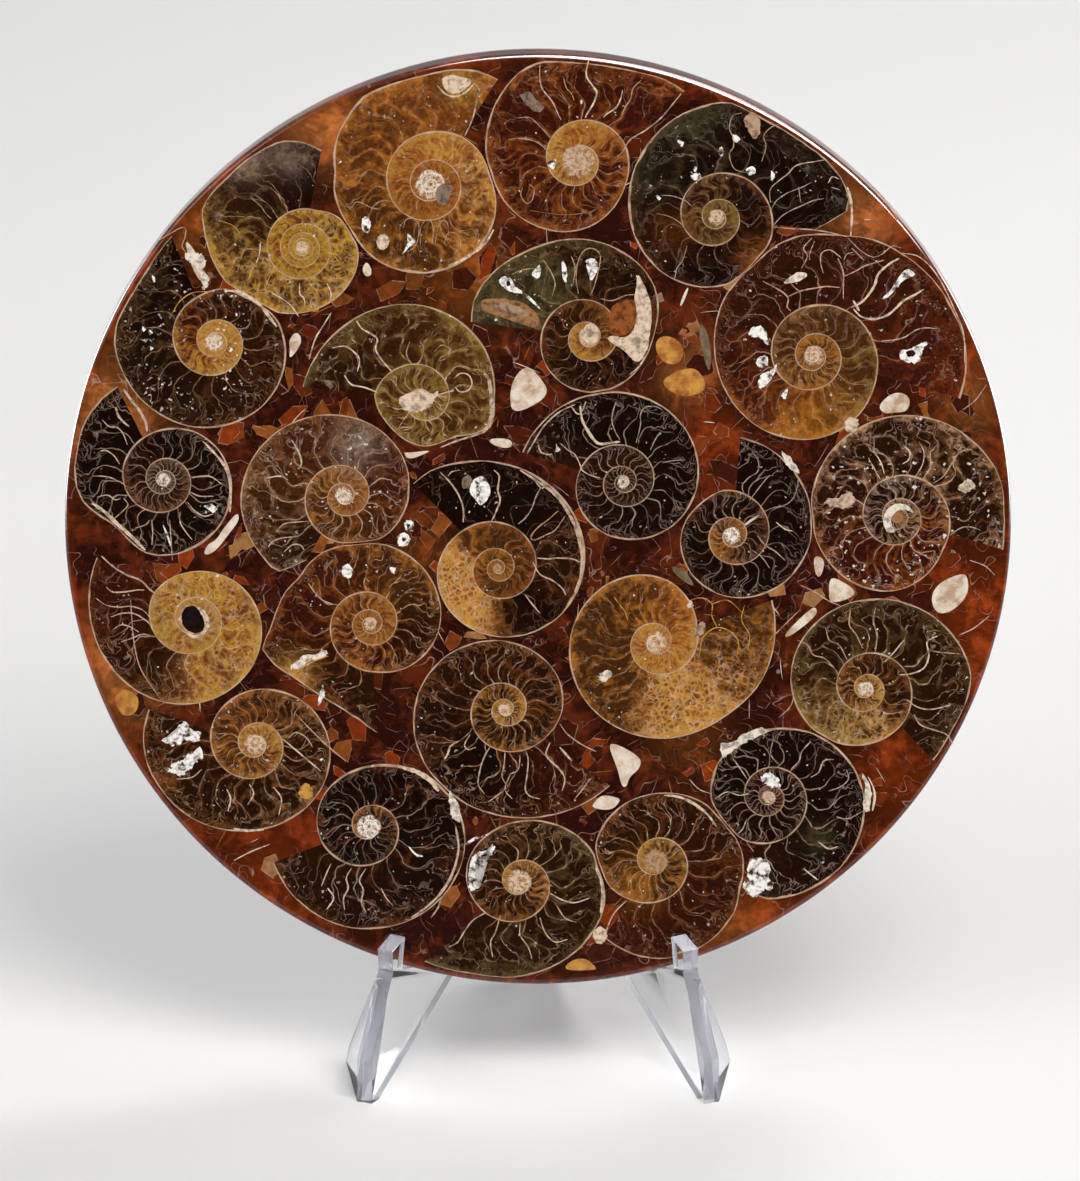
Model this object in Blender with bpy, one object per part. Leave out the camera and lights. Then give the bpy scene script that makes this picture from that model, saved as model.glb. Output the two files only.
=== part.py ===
"""Ammonite fossil disc on its clear easel.

A flat round plate of dark resin holds sliced ammonites and shell chips, all ground flush with
its front. It leans back on a clear acrylic easel of two hooked wings and a rear spine.

Frame: metres, +Z up, the front of the disc towards -Y. The origin is on the table, under the
middle of the object's bounding box.
"""

import math
from dataclasses import dataclass

import bmesh
import bpy
from mathutils import Vector
from mathutils.geometry import tessellate_polygon

MM = 0.001
GAP = 0.3 * MM  # air between any two pieces that touch
SHARP_ANGLE = math.radians(35)

# Disc
DISC_RADIUS = 100 * MM
DISC_THICKNESS = 10 * MM
RIM_ROUNDING = 1.1 * MM
RIM_SEGMENTS = 96
RIM_ROUNDING_STEPS = 3
LEAN = math.radians(11)
INLAY_DEPTH = 3 * MM
INLAY_RIM_MARGIN = 0.6 * MM  # resin left between an inlay and the rounded rim
RESIN_WEB = 0.9 * MM  # resin left between two pockets
NEIGHBOUR_REACH = 35 * MM  # no two ammonites whose middle and outline are farther apart meet
OUTLINE_STEPS = 32
EDGE_SAMPLES = 6
PULL_STEP = 0.2 * MM
PULL_LIMIT = 120

# Easel, measured from the front foot: x outwards, depth backwards, z up
TOE_IN = math.radians(27)
WING_THICKNESS = 3.6 * MM
FOOT_X = 36.9 * MM
FOOT_HEIGHT = 10 * MM
HOOK_DEPTH = 8.7 * MM
HOOK_BASE = 26.6 * MM
HOOK_SHOULDER = 31.6 * MM
HOOK_TOP = 32.8 * MM
SEAT_START = 26.0 * MM
DISC_FRONT_DEPTH = 12.8 * MM
DISC_BOTTOM = 21.7 * MM
REST_HEIGHT = 100 * MM
WING_END = 75.5 * MM
WING_REAR_TOP = 90 * MM
WING_REAR_BOTTOM = 2.5 * MM
FOOT_LENGTH = 3 * MM
ARCH_FRONT = (37.5 * MM, 15.0 * MM)
ARCH_BACK = (50.0 * MM, 16.5 * MM)
SPINE_DEPTH = 70.3 * MM
SPINE_RADIUS = 3.5 * MM
SPINE_HEIGHT = 92 * MM
SPINE_SEGMENTS = 24
FIN_THICKNESS = 1.6 * MM
FIN_X = 38.5 * MM
FIN_SPLAY = 0.134  # outwards per unit of depth
FIN_SLOPE = 0.1945  # inwards per unit of height
FIN_FRONT = 0.2 * MM
FIN_LENGTH = 20.9 * MM
FIN_REAR_HEIGHT = 3.9 * MM
FIN_TIP = (8.0 * MM, 25.5 * MM)
FIN_TIP_FRONT = (7.5 * MM, 24.0 * MM)

FRONT_DEPTH = -0.5 * WING_THICKNESS * math.sin(TOE_IN)
REAR_DEPTH = SPINE_DEPTH + SPINE_RADIUS
ORIGIN_DEPTH = 0.5 * (FRONT_DEPTH + REAR_DEPTH)


@dataclass(frozen=True)
class Ammonite:
    """One sliced ammonite: its middle on the disc's face, which way it grows, and its reach.

    u and v are millimetres right and up from the disc's centre. growth is +1 where the shell
    widens anticlockwise, as seen from the front. Each pair in reach is a bearing in degrees
    and the shell's radius there in millimetres, from the inner end of its mouth with growth.
    """

    number: int
    u: float
    v: float
    growth: int
    reach: tuple


AMMONITES = (
    Ammonite(1, -22.5, 72.5, -1, ((57, 12), (0, 13), (-36, 15.5), (-90, 18.5), (-180, 20.5),
                                  (-270, 25), (-303, 26))),
    Ammonite(2, 8.5, 77.5, -1, ((15, 10.5), (-30, 11), (-90, 14.5), (-180, 19), (-270, 24),
                                (-327, 26.5))),
    Ammonite(3, 37.5, 65.5, -1, ((-9, 12), (-90, 14.5), (-180, 18), (-270, 24), (-368, 28.5))),
    Ammonite(4, 58, 36, -1, ((-17, 14), (-90, 17.5), (-180, 20.5), (-270, 26), (-313, 28.5),
                             (-360, 32), (-377, 32))),
    Ammonite(5, -49.5, 59, -1, ((60, 10.5), (0, 11.5), (-90, 13.5), (-180, 19.5), (-213, 23.5),
                                (-256, 23), (-283, 20.5), (-293, 17.5))),
    Ammonite(6, -68, 39, -1, ((112, 10.3), (0, 14.5), (-90, 18), (-180, 21), (-249, 25.5))),
    Ammonite(7, -79, 9.5, -1, ((115, 10), (0, 14), (-90, 16), (-103, 16), (-136, 14),
                               (-165, 17.5), (-180, 18.5), (-245, 22))),
    Ammonite(8, -41, 6, 1, ((241, 9.5), (360, 13.5), (450, 17), (540, 21.5), (564, 21.5),
                            (589, 21.5), (601, 23))),
    Ammonite(9, -24.5, 26.5, 1, ((175, 10), (222, 8.5), (270, 9.5), (315, 10.5), (335, 15),
                                 (360, 15), (408, 17.5), (450, 20), (534, 25))),
    Ammonite(10, 10.5, 40, 1, ((182, 10), (270, 11.5), (360, 13.5), (393, 17), (450, 20.5),
                               (482, 22), (521, 25), (533, 24.5))),
    Ammonite(11, 18, 9, 1, ((164, 9.5), (270, 12), (360, 15.5), (450, 19), (524, 22))),
    Ammonite(12, -8.5, -9.5, 1, ((132, 11), (180, 12.5), (270, 14.5), (360, 18), (450, 22.5),
                                 (495, 26))),
    Ammonite(13, 41, -2.5, 1, ((101, 10), (130, 9.5), (180, 10.5), (270, 13), (360, 16.5),
                               (446, 21))),
    Ammonite(14, 76, 1.5, -1, ((-37, 12), (-90, 15.5), (-180, 18), (-270, 21.5), (-360, 23.5),
                               (-378, 24.5))),
    Ammonite(15, -73, -20.5, -1, ((145, 10), (90, 10), (0, 14), (-90, 18), (-180, 21.5),
                                  (-214, 24))),
    Ammonite(16, -35.5, -21.5, 1, ((275, 10.5), (360, 14.5), (450, 17.5), (540, 20.5),
                                   (556, 23.5), (572, 20), (594, 18.5), (617, 19.5),
                                   (634, 23.5))),
    Ammonite(17, -7, -40, 1, ((324, 10.5), (360, 12), (450, 14.5), (540, 19), (630, 23),
                              (684, 27.5))),
    Ammonite(18, 25, -25.5, 1, ((24, 9.5), (90, 14), (180, 18), (270, 20.5), (314, 21.5),
                                (339, 23.5), (381, 26))),
    Ammonite(19, 69.5, -35.5, -1, ((-49, 11), (-90, 12), (-180, 15.5), (-270, 19),
                                   (-360, 22.5), (-399, 22.5), (-408, 21))),
    Ammonite(20, -60, -47.5, -1, ((158, 10), (90, 11.5), (0, 15.5), (-90, 18.5), (-180, 23.5),
                                  (-199, 23.5))),
    Ammonite(21, -36, -65.5, -1, ((200, 10.5), (90, 13), (0, 20), (-90, 22), (-160, 21.5))),
    Ammonite(22, -4, -77.5, -1, ((220, 10), (180, 11), (90, 13), (0, 18), (-90, 20.5),
                                 (-140, 26.5))),
    Ammonite(23, 25, -73, -1, ((236, 10), (180, 12.5), (90, 14.5), (0, 18.5), (-90, 21),
                               (-124, 19.5))),
    Ammonite(24, 49, -59, -1, ((254, 10.5), (180, 12), (90, 14.5), (0, 20), (-90, 22),
                               (-106, 22))),
)

# Shell and calcite pieces between the ammonites: corners in millimetres, as u and v
CHIPS = {
    "chip_white_wedge": ((-5, 31.5), (-2.5, 34), (0, 32), (3, 27.5), (-5.5, 23), (-6, 28)),
    "chip_shell_small": ((-11, 18.5), (-5.5, 18.5), (-5.5, 16), (-9, 16.5)),
    "pebble_amber_upper": ((24, 39.5), (26.5, 40.5), (29.5, 39.5), (31, 37), (29.5, 34),
                           (26.5, 34.5), (25, 36.5)),
    "pebble_amber_lower": ((25, 30.5), (30, 33.5), (33.5, 33.5), (35.5, 30), (34.5, 28),
                           (30, 27)),
    "shard_olive": ((33.5, 42), (34.7, 43), (36, 40.5), (36.5, 37), (36.5, 33), (35.5, 33),
                    (34.5, 37)),
    "bar_white": ((51.5, -24), (57.5, -18), (59, -18), (59, -20), (53.5, -24.5)),
    "chip_box": ((61.5, -12), (63, -11.5), (68, -14.5), (66, -17.5), (62, -17), (61.5, -15.5)),
    "chip_white_kite": ((58, -7), (60, -6), (62, -8), (60, -11.5), (58.5, -11)),
    "chip_porous": ((83, -15.5), (85, -12.5), (89.5, -10.5), (91, -11.5), (91, -15.5),
                    (87.5, -19), (84, -19.5)),
    "chip_white_amber": ((71.5, 25.5), (75, 28.5), (78.5, 27.5), (78, 24), (75.5, 23),
                         (73, 23.5)),
    "chip_pink_upper": ((14.5, -47.5), (17, -47.5), (22, -50.5), (21.5, -53), (19.5, -54.5),
                        (19, -57), (17.5, -56.5), (17, -53)),
    "chip_pink_lower": ((10.5, -59.5), (13.5, -57.5), (17, -59), (17.5, -60), (15.5, -62),
                        (11, -61.5)),
    "pebble_orange": ((-90, -38), (-88.5, -35.5), (-86.5, -35.5), (-84.5, -37.5), (-85, -40.5),
                      (-87, -41.5), (-88.5, -41)),
    "pebble_amber_bottom": ((5, -97), (7, -94.5), (10, -94), (12.5, -96), (12, -97)),
    "shard_grey": ((28, -9), (30.5, -6), (31.5, -8), (33, -11), (33.5, -13.5), (31.5, -13),
                   (29, -11)),
    "shell_crescent": ((-63.5, 3), (-63, 0.5), (-65.5, -2.5), (-68, -6), (-71, -7),
                       (-74.5, -6.5), (-70.5, -4.5), (-66.5, -0.5)),
    "shell_wedge": ((-29, 16), (-27.5, 15.5), (-23.5, 16), (-22.5, 15.5), (-28, 12.5)),
    "shell_strip": ((69.5, -54), (71, -55.5), (72, -58.5), (71.5, -62), (70.5, -62),
                    (71, -58)),
    "chip_white_long": ((-74.5, 60.5), (-73, 60), (-71.3, 57), (-70.5, 52.5), (-71.5, 52),
                        (-73, 55.5)),
    "chip_white_leaf": ((-53, 39.5), (-51, 41.5), (-49.5, 39.5), (-50.5, 37.5), (-52.5, 35),
                        (-53, 37)),
    "chip_white_small": ((-37, 54.5), (-36, 56.5), (-35, 54.5), (-35, 53), (-36.5, 53)),
    "splinter_white": ((29.5, 47), (31, 51), (32.5, 51), (30.5, 46.5)),
}

# Colour of each ammonite's filling, roughly: amber, brown, olive or near black
AMBER = (0.42, 0.19, 0.05)
BROWN = (0.16, 0.06, 0.03)
OLIVE = (0.15, 0.11, 0.04)
BLACK = (0.03, 0.025, 0.02)
AMMONITE_COLOURS = {
    AMBER: (1, 5, 15, 18),
    BROWN: (2, 4, 6, 8, 12, 14, 16, 17, 20, 21, 22, 23),
    OLIVE: (9, 19),
    BLACK: (3, 7, 10, 11, 13, 24),
}
RESIN_COLOUR = (0.13, 0.02, 0.012)
CHIP_COLOUR = (0.62, 0.52, 0.44)
PEBBLE_COLOUR = (0.50, 0.23, 0.06)
ACRYLIC_COLOUR = (0.90, 0.93, 0.95)


def clear_scene():
    """Remove every object that the file starts with."""
    for thing in list(bpy.data.objects):
        bpy.data.objects.remove(thing)


def principled(name, colour, roughness, transmission=0.0):
    """Return the named material, made on its first use."""
    found = bpy.data.materials.get(name)
    if found:
        return found
    made = bpy.data.materials.new(name)
    made.use_nodes = True
    shader = made.node_tree.nodes["Principled BSDF"]
    shader.inputs["Base Color"].default_value = (*colour, 1)
    shader.inputs["Roughness"].default_value = roughness
    shader.inputs["Metallic"].default_value = 0.0
    shader.inputs["Transmission Weight"].default_value = transmission
    return made


def object_from(name, bm, material, parent=None):
    """Turn a bmesh into a named object with outward faces."""
    bmesh.ops.recalc_face_normals(bm, faces=bm.faces)
    mesh = bpy.data.meshes.new(name)
    bm.to_mesh(mesh)
    bm.free()
    made = bpy.data.objects.new(name, mesh)
    bpy.context.scene.collection.objects.link(made)
    made.data.materials.append(material)
    made.parent = parent
    return made


def smooth_rounds(thing):
    """Shade the round stretches smooth and keep the corners sharp."""
    thing.data.shade_smooth()
    thing.data.set_sharp_from_angle(angle=SHARP_ANGLE)


def prism(name, first, last, material, parent=None):
    """Make a closed solid between two matching loops of points."""
    bm = bmesh.new()
    ends = [[bm.verts.new(point) for point in loop] for loop in (first, last)]
    bm.faces.new(ends[0])
    bm.faces.new(ends[1])
    for i in range(len(first)):
        j = (i + 1) % len(first)
        bm.faces.new((ends[0][i], ends[0][j], ends[1][j], ends[1][i]))
    return object_from(name, bm, material, parent)


# Outlines on the disc's face, as Vectors of u and v in metres


def smooth_reach(reach, bearing):
    """Read a shell's radius at a bearing: a cubic through the logarithms of the radii."""
    angles = [pair[0] for pair in reach]
    logs = [math.log(pair[1]) for pair in reach]
    slopes = [(logs[i + 1] - logs[i]) / (angles[i + 1] - angles[i])
              for i in range(len(reach) - 1)]
    ends = [slopes[0]] + [0.5 * (a + b) for a, b in zip(slopes, slopes[1:])] + [slopes[-1]]
    rising = 1 if angles[-1] > angles[0] else -1
    i = 0
    while i < len(reach) - 2 and (bearing - angles[i + 1]) * rising > 0:
        i += 1
    span = angles[i + 1] - angles[i]
    t = (bearing - angles[i]) / span
    value = (
        (2 * t**3 - 3 * t**2 + 1) * logs[i]
        + (t**3 - 2 * t**2 + t) * span * ends[i]
        + (3 * t**2 - 2 * t**3) * logs[i + 1]
        + (t**3 - t**2) * span * ends[i + 1]
    )
    return math.exp(value) * MM


def spiral_outline(ammonite):
    """Return the last whorl's outer edge, closed by the straight line of the mouth."""
    middle = Vector((ammonite.u, ammonite.v)) * MM
    start, end = ammonite.reach[0][0], ammonite.reach[-1][0]
    points = []
    for i in range(OUTLINE_STEPS):
        bearing = start + (end - start) * i / (OUTLINE_STEPS - 1)
        angle = math.radians(bearing)
        way = Vector((math.cos(angle), math.sin(angle)))
        points.append(middle + way * smooth_reach(ammonite.reach, bearing))
    return points if ammonite.growth > 0 else points[::-1]


def signed_distance(point, outline):
    """Distance from a point to a closed outline, negative inside it."""
    nearest, inside = math.inf, False
    for a, b in zip(outline, outline[1:] + outline[:1]):
        along = b - a
        t = max(0.0, min(1.0, (point - a).dot(along) / along.length_squared))
        nearest = min(nearest, (a + along * t - point).length)
        if (a.y > point.y) != (b.y > point.y):
            if point.x < a.x + (point.y - a.y) * along.x / along.y:
                inside = not inside
    return -nearest if inside else nearest


def pulled_in(point, middle, clear):
    """Move a point towards a middle, step by step, until clear(point) holds."""
    for _ in range(PULL_LIMIT):
        if clear(point):
            break
        point = point + (middle - point).normalized() * PULL_STEP
    return point


def inlay_limit():
    """Radius on the face that no inlay passes."""
    return DISC_RADIUS - RIM_ROUNDING - INLAY_RIM_MARGIN


def ammonite_pockets():
    """Give each ammonite its own ground: neighbours share an overlap evenly."""
    raw = {item.number: spiral_outline(item) for item in AMMONITES}
    pockets = {}
    for item in AMMONITES:
        middle = Vector((item.u, item.v)) * MM
        others = [outline for number, outline in raw.items() if number != item.number]
        near = [o for o in others if signed_distance(middle, o) < NEIGHBOUR_REACH]

        def clear(point, own=raw[item.number], near=near):
            if point.length > inlay_limit():
                return False
            depth = signed_distance(point, own)
            return all(signed_distance(point, o) - depth >= RESIN_WEB for o in near)

        pockets[item.number] = [pulled_in(p, middle, clear) for p in raw[item.number]]
    return pockets


def chip_pocket(corners, taken):
    """Draw a chip's corners in until the whole chip is clear of the pockets taken."""
    outline = [Vector(corner) * MM for corner in corners]
    middle = sum(outline, Vector((0, 0))) / len(outline)
    near = [o for o in taken if signed_distance(middle, o) < NEIGHBOUR_REACH]

    def clear(point):
        if point.length > inlay_limit():
            return False
        return all(signed_distance(point, o) >= RESIN_WEB for o in near)

    outline = [pulled_in(point, middle, clear) for point in outline]
    for _ in range(PULL_LIMIT):
        blocked = set()
        for i, a in enumerate(outline):
            j = (i + 1) % len(outline)
            if not all(clear(a.lerp(outline[j], k / EDGE_SAMPLES)) for k in range(EDGE_SAMPLES)):
                blocked |= {i, j}
        if not blocked:
            break
        for i in blocked:
            outline[i] = outline[i] + (middle - outline[i]).normalized() * PULL_STEP
    return outline


def inset(outline, distance):
    """Move each side of a closed outline inwards by a distance."""
    area = sum(a.cross(b) for a, b in zip(outline, outline[1:] + outline[:1]))
    side = distance if area > 0 else -distance
    moved = []
    for i, point in enumerate(outline):
        before = (point - outline[i - 1]).normalized()
        after = (outline[(i + 1) % len(outline)] - point).normalized()
        middle = before + after
        middle = middle.normalized() if middle.length > 1e-6 else after
        normal = Vector((-middle.y, middle.x))
        stretch = max(0.5, normal.dot(Vector((-before.y, before.x))))
        moved.append(point + normal * side / stretch)
    return moved


# Disc


def disc_frame():
    """The disc's own axes: x right, y up its face, z out of its face, origin at its middle."""
    frame = bpy.data.objects.new("disc_frame", None)
    bpy.context.scene.collection.objects.link(frame)
    up = Vector((0, math.sin(LEAN), math.cos(LEAN)))
    bottom = Vector((0, DISC_FRONT_DEPTH - ORIGIN_DEPTH, DISC_BOTTOM))
    frame.location = bottom + up * DISC_RADIUS
    frame.rotation_euler = (math.radians(90) - LEAN, 0, 0)
    return frame


def rim_rings():
    """Radius and height of each ring of the rim, from the front face to the back one."""
    rounding = []
    for i in range(RIM_ROUNDING_STEPS + 1):
        angle = math.radians(90) * i / RIM_ROUNDING_STEPS
        rounding.append((DISC_RADIUS - RIM_ROUNDING * (1 - math.sin(angle)),
                         -RIM_ROUNDING * (1 - math.cos(angle))))
    return rounding + [(radius, -DISC_THICKNESS - z) for radius, z in reversed(rounding)]


def matrix_slab(pockets, frame):
    """The resin plate: a rounded disc with a pocket in its front for every inlay."""
    bm = bmesh.new()
    circle = [2 * math.pi * i / RIM_SEGMENTS for i in range(RIM_SEGMENTS)]
    rings = [[bm.verts.new((r * math.cos(a), r * math.sin(a), z)) for a in circle]
             for r, z in rim_rings()]
    for upper, lower in zip(rings, rings[1:]):
        for i in range(RIM_SEGMENTS):
            j = (i + 1) % RIM_SEGMENTS
            bm.faces.new((upper[i], lower[i], lower[j], upper[j]))
    bm.faces.new(rings[-1])
    mouths = []
    for outline in pockets:
        mouth = [bm.verts.new((p.x, p.y, 0)) for p in outline]
        floor = [bm.verts.new((p.x, p.y, -INLAY_DEPTH)) for p in inset(outline, -GAP / 2)]
        for i in range(len(outline)):
            j = (i + 1) % len(outline)
            bm.faces.new((mouth[i], mouth[j], floor[j], floor[i]))
        bm.faces.new(floor)
        mouths.append(mouth)
    loops = [rings[0]] + mouths
    corners = [vert for loop in loops for vert in loop]
    for face in tessellate_polygon([[vert.co for vert in loop] for loop in loops]):
        bm.faces.new([corners[i] for i in face])
    slab = object_from("matrix_slab", bm, principled("resin", RESIN_COLOUR, 0.12), frame)
    smooth_rounds(slab)


def inlay(name, pocket, material, frame):
    """A flush piece that fills its pocket but for the gap round and under it."""
    outline = inset(pocket, GAP)
    top = [Vector((p.x, p.y, 0)) for p in outline]
    bottom = [Vector((p.x, p.y, GAP - INLAY_DEPTH)) for p in outline]
    return prism(name, top, bottom, material, frame)


def disc():
    """The slab with all of its inlays."""
    frame = disc_frame()
    pockets = ammonite_pockets()
    chips = {}
    for name, corners in CHIPS.items():
        chips[name] = chip_pocket(corners, [*pockets.values(), *chips.values()])
    matrix_slab([*pockets.values(), *chips.values()], frame)
    for colour, numbers in AMMONITE_COLOURS.items():
        for number in numbers:
            name = f"ammonite_{number:02d}"
            inlay(name, pockets[number], principled(name, colour, 0.15), frame)
    for name, pocket in chips.items():
        colour = PEBBLE_COLOUR if name.startswith("pebble") else CHIP_COLOUR
        inlay(name, pocket, principled(name, colour, 0.2), frame)


# Easel


def wing_profile():
    """Outline of a wing in its own plane: distance back along the wing, and height."""
    slope = math.tan(LEAN)
    clear = 0.5 * WING_THICKNESS * math.sin(TOE_IN) + GAP
    back_face = DISC_THICKNESS / math.cos(LEAN)

    def front_of_disc(z):
        return (DISC_FRONT_DEPTH + (z - DISC_BOTTOM) * slope - clear) / math.cos(TOE_IN)

    def back_of_disc(z):
        return (DISC_FRONT_DEPTH + (z - DISC_BOTTOM) * slope + back_face + clear) / math.cos(TOE_IN)

    def seat(s):
        """Height just under the disc's rim, over the wing's inner face at s."""
        x = FOOT_X - s * math.sin(TOE_IN) - 0.5 * WING_THICKNESS * math.cos(TOE_IN)
        depth = s * math.cos(TOE_IN)
        rise = DISC_RADIUS - math.sqrt(DISC_RADIUS**2 - x**2)
        return DISC_BOTTOM + rise / math.cos(LEAN) - slope * (depth - DISC_FRONT_DEPTH) - GAP

    hook = HOOK_DEPTH / math.cos(TOE_IN)
    seat_front = front_of_disc(SEAT_START)
    seat_back = back_of_disc(DISC_BOTTOM)
    return (
        (0, 0),
        (0, FOOT_HEIGHT),
        (hook, HOOK_BASE),
        (hook, HOOK_SHOULDER),
        (front_of_disc(HOOK_TOP), HOOK_TOP),
        (seat_front, seat(seat_front)),
        (seat_back, seat(seat_back)),
        (back_of_disc(REST_HEIGHT), REST_HEIGHT),
        (WING_END, WING_REAR_TOP),
        (WING_END, WING_REAR_BOTTOM),
        ARCH_BACK,
        ARCH_FRONT,
        (FOOT_LENGTH, 0),
    )


def fin_outline():
    """Outline of the fin outside each foot, as depth and height."""
    return (
        (FIN_FRONT, 0),
        (FIN_LENGTH, 0),
        (FIN_LENGTH, FIN_REAR_HEIGHT),
        FIN_TIP,
        FIN_TIP_FRONT,
        (FIN_FRONT, FOOT_HEIGHT),
    )


def wing(name, side, material):
    """One hooked wing with the fin that widens its foot. side is +1 on the right."""
    back = Vector((-math.sin(TOE_IN), math.cos(TOE_IN)))
    across = Vector((math.cos(TOE_IN), math.sin(TOE_IN))) * 0.5 * WING_THICKNESS
    faces = []
    for shift in (-across, across):
        plan = [Vector((FOOT_X, 0)) + back * s + shift for s, _ in wing_profile()]
        faces.append([Vector((side * p.x, p.y - ORIGIN_DEPTH, z))
                      for p, (_, z) in zip(plan, wing_profile())])
    blade = prism(name, *faces, material)

    faces = []
    for shift in (0, FIN_THICKNESS):
        faces.append([
            Vector((side * (FIN_X - shift + FIN_SPLAY * d - FIN_SLOPE * z), d - ORIGIN_DEPTH, z))
            for d, z in fin_outline()
        ])
    fin = prism(f"{name}_fin", *faces, material)
    fin.hide_render = True
    fin.display_type = "WIRE"
    union = blade.modifiers.new("fin", "BOOLEAN")
    union.operation = "UNION"
    union.solver = "EXACT"
    union.object = fin


def spine(material):
    """The round rear leg between the wings."""
    bm = bmesh.new()
    bmesh.ops.create_cone(bm, cap_ends=True, segments=SPINE_SEGMENTS, radius1=SPINE_RADIUS,
                          radius2=SPINE_RADIUS, depth=SPINE_HEIGHT)
    made = object_from("easel_spine", bm, material)
    made.location = (0, SPINE_DEPTH - ORIGIN_DEPTH, SPINE_HEIGHT / 2)
    smooth_rounds(made)


def easel():
    """Two mirrored wings and the spine."""
    acrylic = principled("acrylic", ACRYLIC_COLOUR, 0.05, transmission=1.0)
    wing("easel_wing_left", -1, acrylic)
    wing("easel_wing_right", 1, acrylic)
    spine(acrylic)


def main():
    clear_scene()
    disc()
    easel()


main()
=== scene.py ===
"""Dresses the ammonite fossil disc and its clear easel.

The disc is a round plate of resin. Each ammonite in it is a coil of chambers, made by a Geometry
Nodes tree from a flat strip, and its finish draws the shell, the septa and the fillings.
"""

import logging
import math
from collections.abc import Callable
from dataclasses import dataclass
from enum import Enum

import bmesh
import bpy
import numpy as np
from mathutils import Matrix, Vector


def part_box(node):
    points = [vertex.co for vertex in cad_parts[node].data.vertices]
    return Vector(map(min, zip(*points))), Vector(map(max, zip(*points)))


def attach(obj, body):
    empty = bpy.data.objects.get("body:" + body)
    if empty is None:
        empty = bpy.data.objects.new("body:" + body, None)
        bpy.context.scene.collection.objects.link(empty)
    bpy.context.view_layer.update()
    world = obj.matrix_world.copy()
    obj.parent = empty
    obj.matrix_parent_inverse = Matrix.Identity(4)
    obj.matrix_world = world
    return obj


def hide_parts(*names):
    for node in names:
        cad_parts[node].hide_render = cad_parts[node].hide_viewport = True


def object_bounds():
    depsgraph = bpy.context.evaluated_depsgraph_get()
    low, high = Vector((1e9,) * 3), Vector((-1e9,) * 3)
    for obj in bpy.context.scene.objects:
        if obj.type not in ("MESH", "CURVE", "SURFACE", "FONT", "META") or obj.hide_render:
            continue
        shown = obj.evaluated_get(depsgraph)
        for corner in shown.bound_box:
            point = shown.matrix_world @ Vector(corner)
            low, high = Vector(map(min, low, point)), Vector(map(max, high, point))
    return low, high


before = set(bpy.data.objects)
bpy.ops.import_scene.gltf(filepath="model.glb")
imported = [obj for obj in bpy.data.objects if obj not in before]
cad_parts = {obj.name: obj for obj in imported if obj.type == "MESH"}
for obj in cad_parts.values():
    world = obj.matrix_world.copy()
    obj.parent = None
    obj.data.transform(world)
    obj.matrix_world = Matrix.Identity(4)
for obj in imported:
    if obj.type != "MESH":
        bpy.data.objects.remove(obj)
CAD_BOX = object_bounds()

LOG = logging.getLogger("ammonite_disc")
MM = 0.001
TURN = 360.0
BODY = "root"
WELD = 0.01 * MM  # corners nearer than this are one
SLIVER = 0.001 * MM  # edges shorter than this are dissolved
Colour = tuple[float, float, float]
FLAT: Colour = (1.0, 1.0, 0.0)
HALF: Colour = (0.5, 0.5, 0.5)


class Hue(Enum):
    """Colours of the fillings, shells and resin, as linear red, green and blue."""

    BLACK = (0.009, 0.003, 0.0015)
    SOOT = (0.022, 0.007, 0.002)
    UMBER = (0.060, 0.019, 0.005)
    MAROON = (0.045, 0.007, 0.003)
    CHESTNUT = (0.160, 0.043, 0.009)
    RUST = (0.280, 0.075, 0.013)
    AMBER = (0.420, 0.150, 0.018)
    HONEY = (0.600, 0.290, 0.052)
    MUSTARD = (0.520, 0.270, 0.030)
    KHAKI = (0.240, 0.150, 0.030)
    OLIVE = (0.110, 0.080, 0.030)
    MOSS = (0.036, 0.028, 0.012)
    SMOKE = (0.240, 0.160, 0.115)
    BRONZE = (0.330, 0.160, 0.065)
    ASH = (0.400, 0.300, 0.240)
    TAN = (0.460, 0.290, 0.175)
    CREAM = (0.720, 0.540, 0.390)
    BONE = (0.800, 0.690, 0.570)
    SHELL = (0.580, 0.410, 0.295)
    PINK = (0.580, 0.350, 0.270)
    WINE = (0.052, 0.009, 0.004)
    CARNELIAN = (0.250, 0.036, 0.005)
    PEACH = (0.600, 0.190, 0.042)
    WHITE = (0.900, 0.860, 0.800)


# Node trees


def maths(operation: str) -> Callable[..., "Socket"]:
    """Make a method that adds a Math node with one operation."""
    def method(self: "Socket", *others: "Socket | float") -> "Socket":
        """Add the node and return its value."""
        return self.math(operation, *others)

    return method


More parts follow.
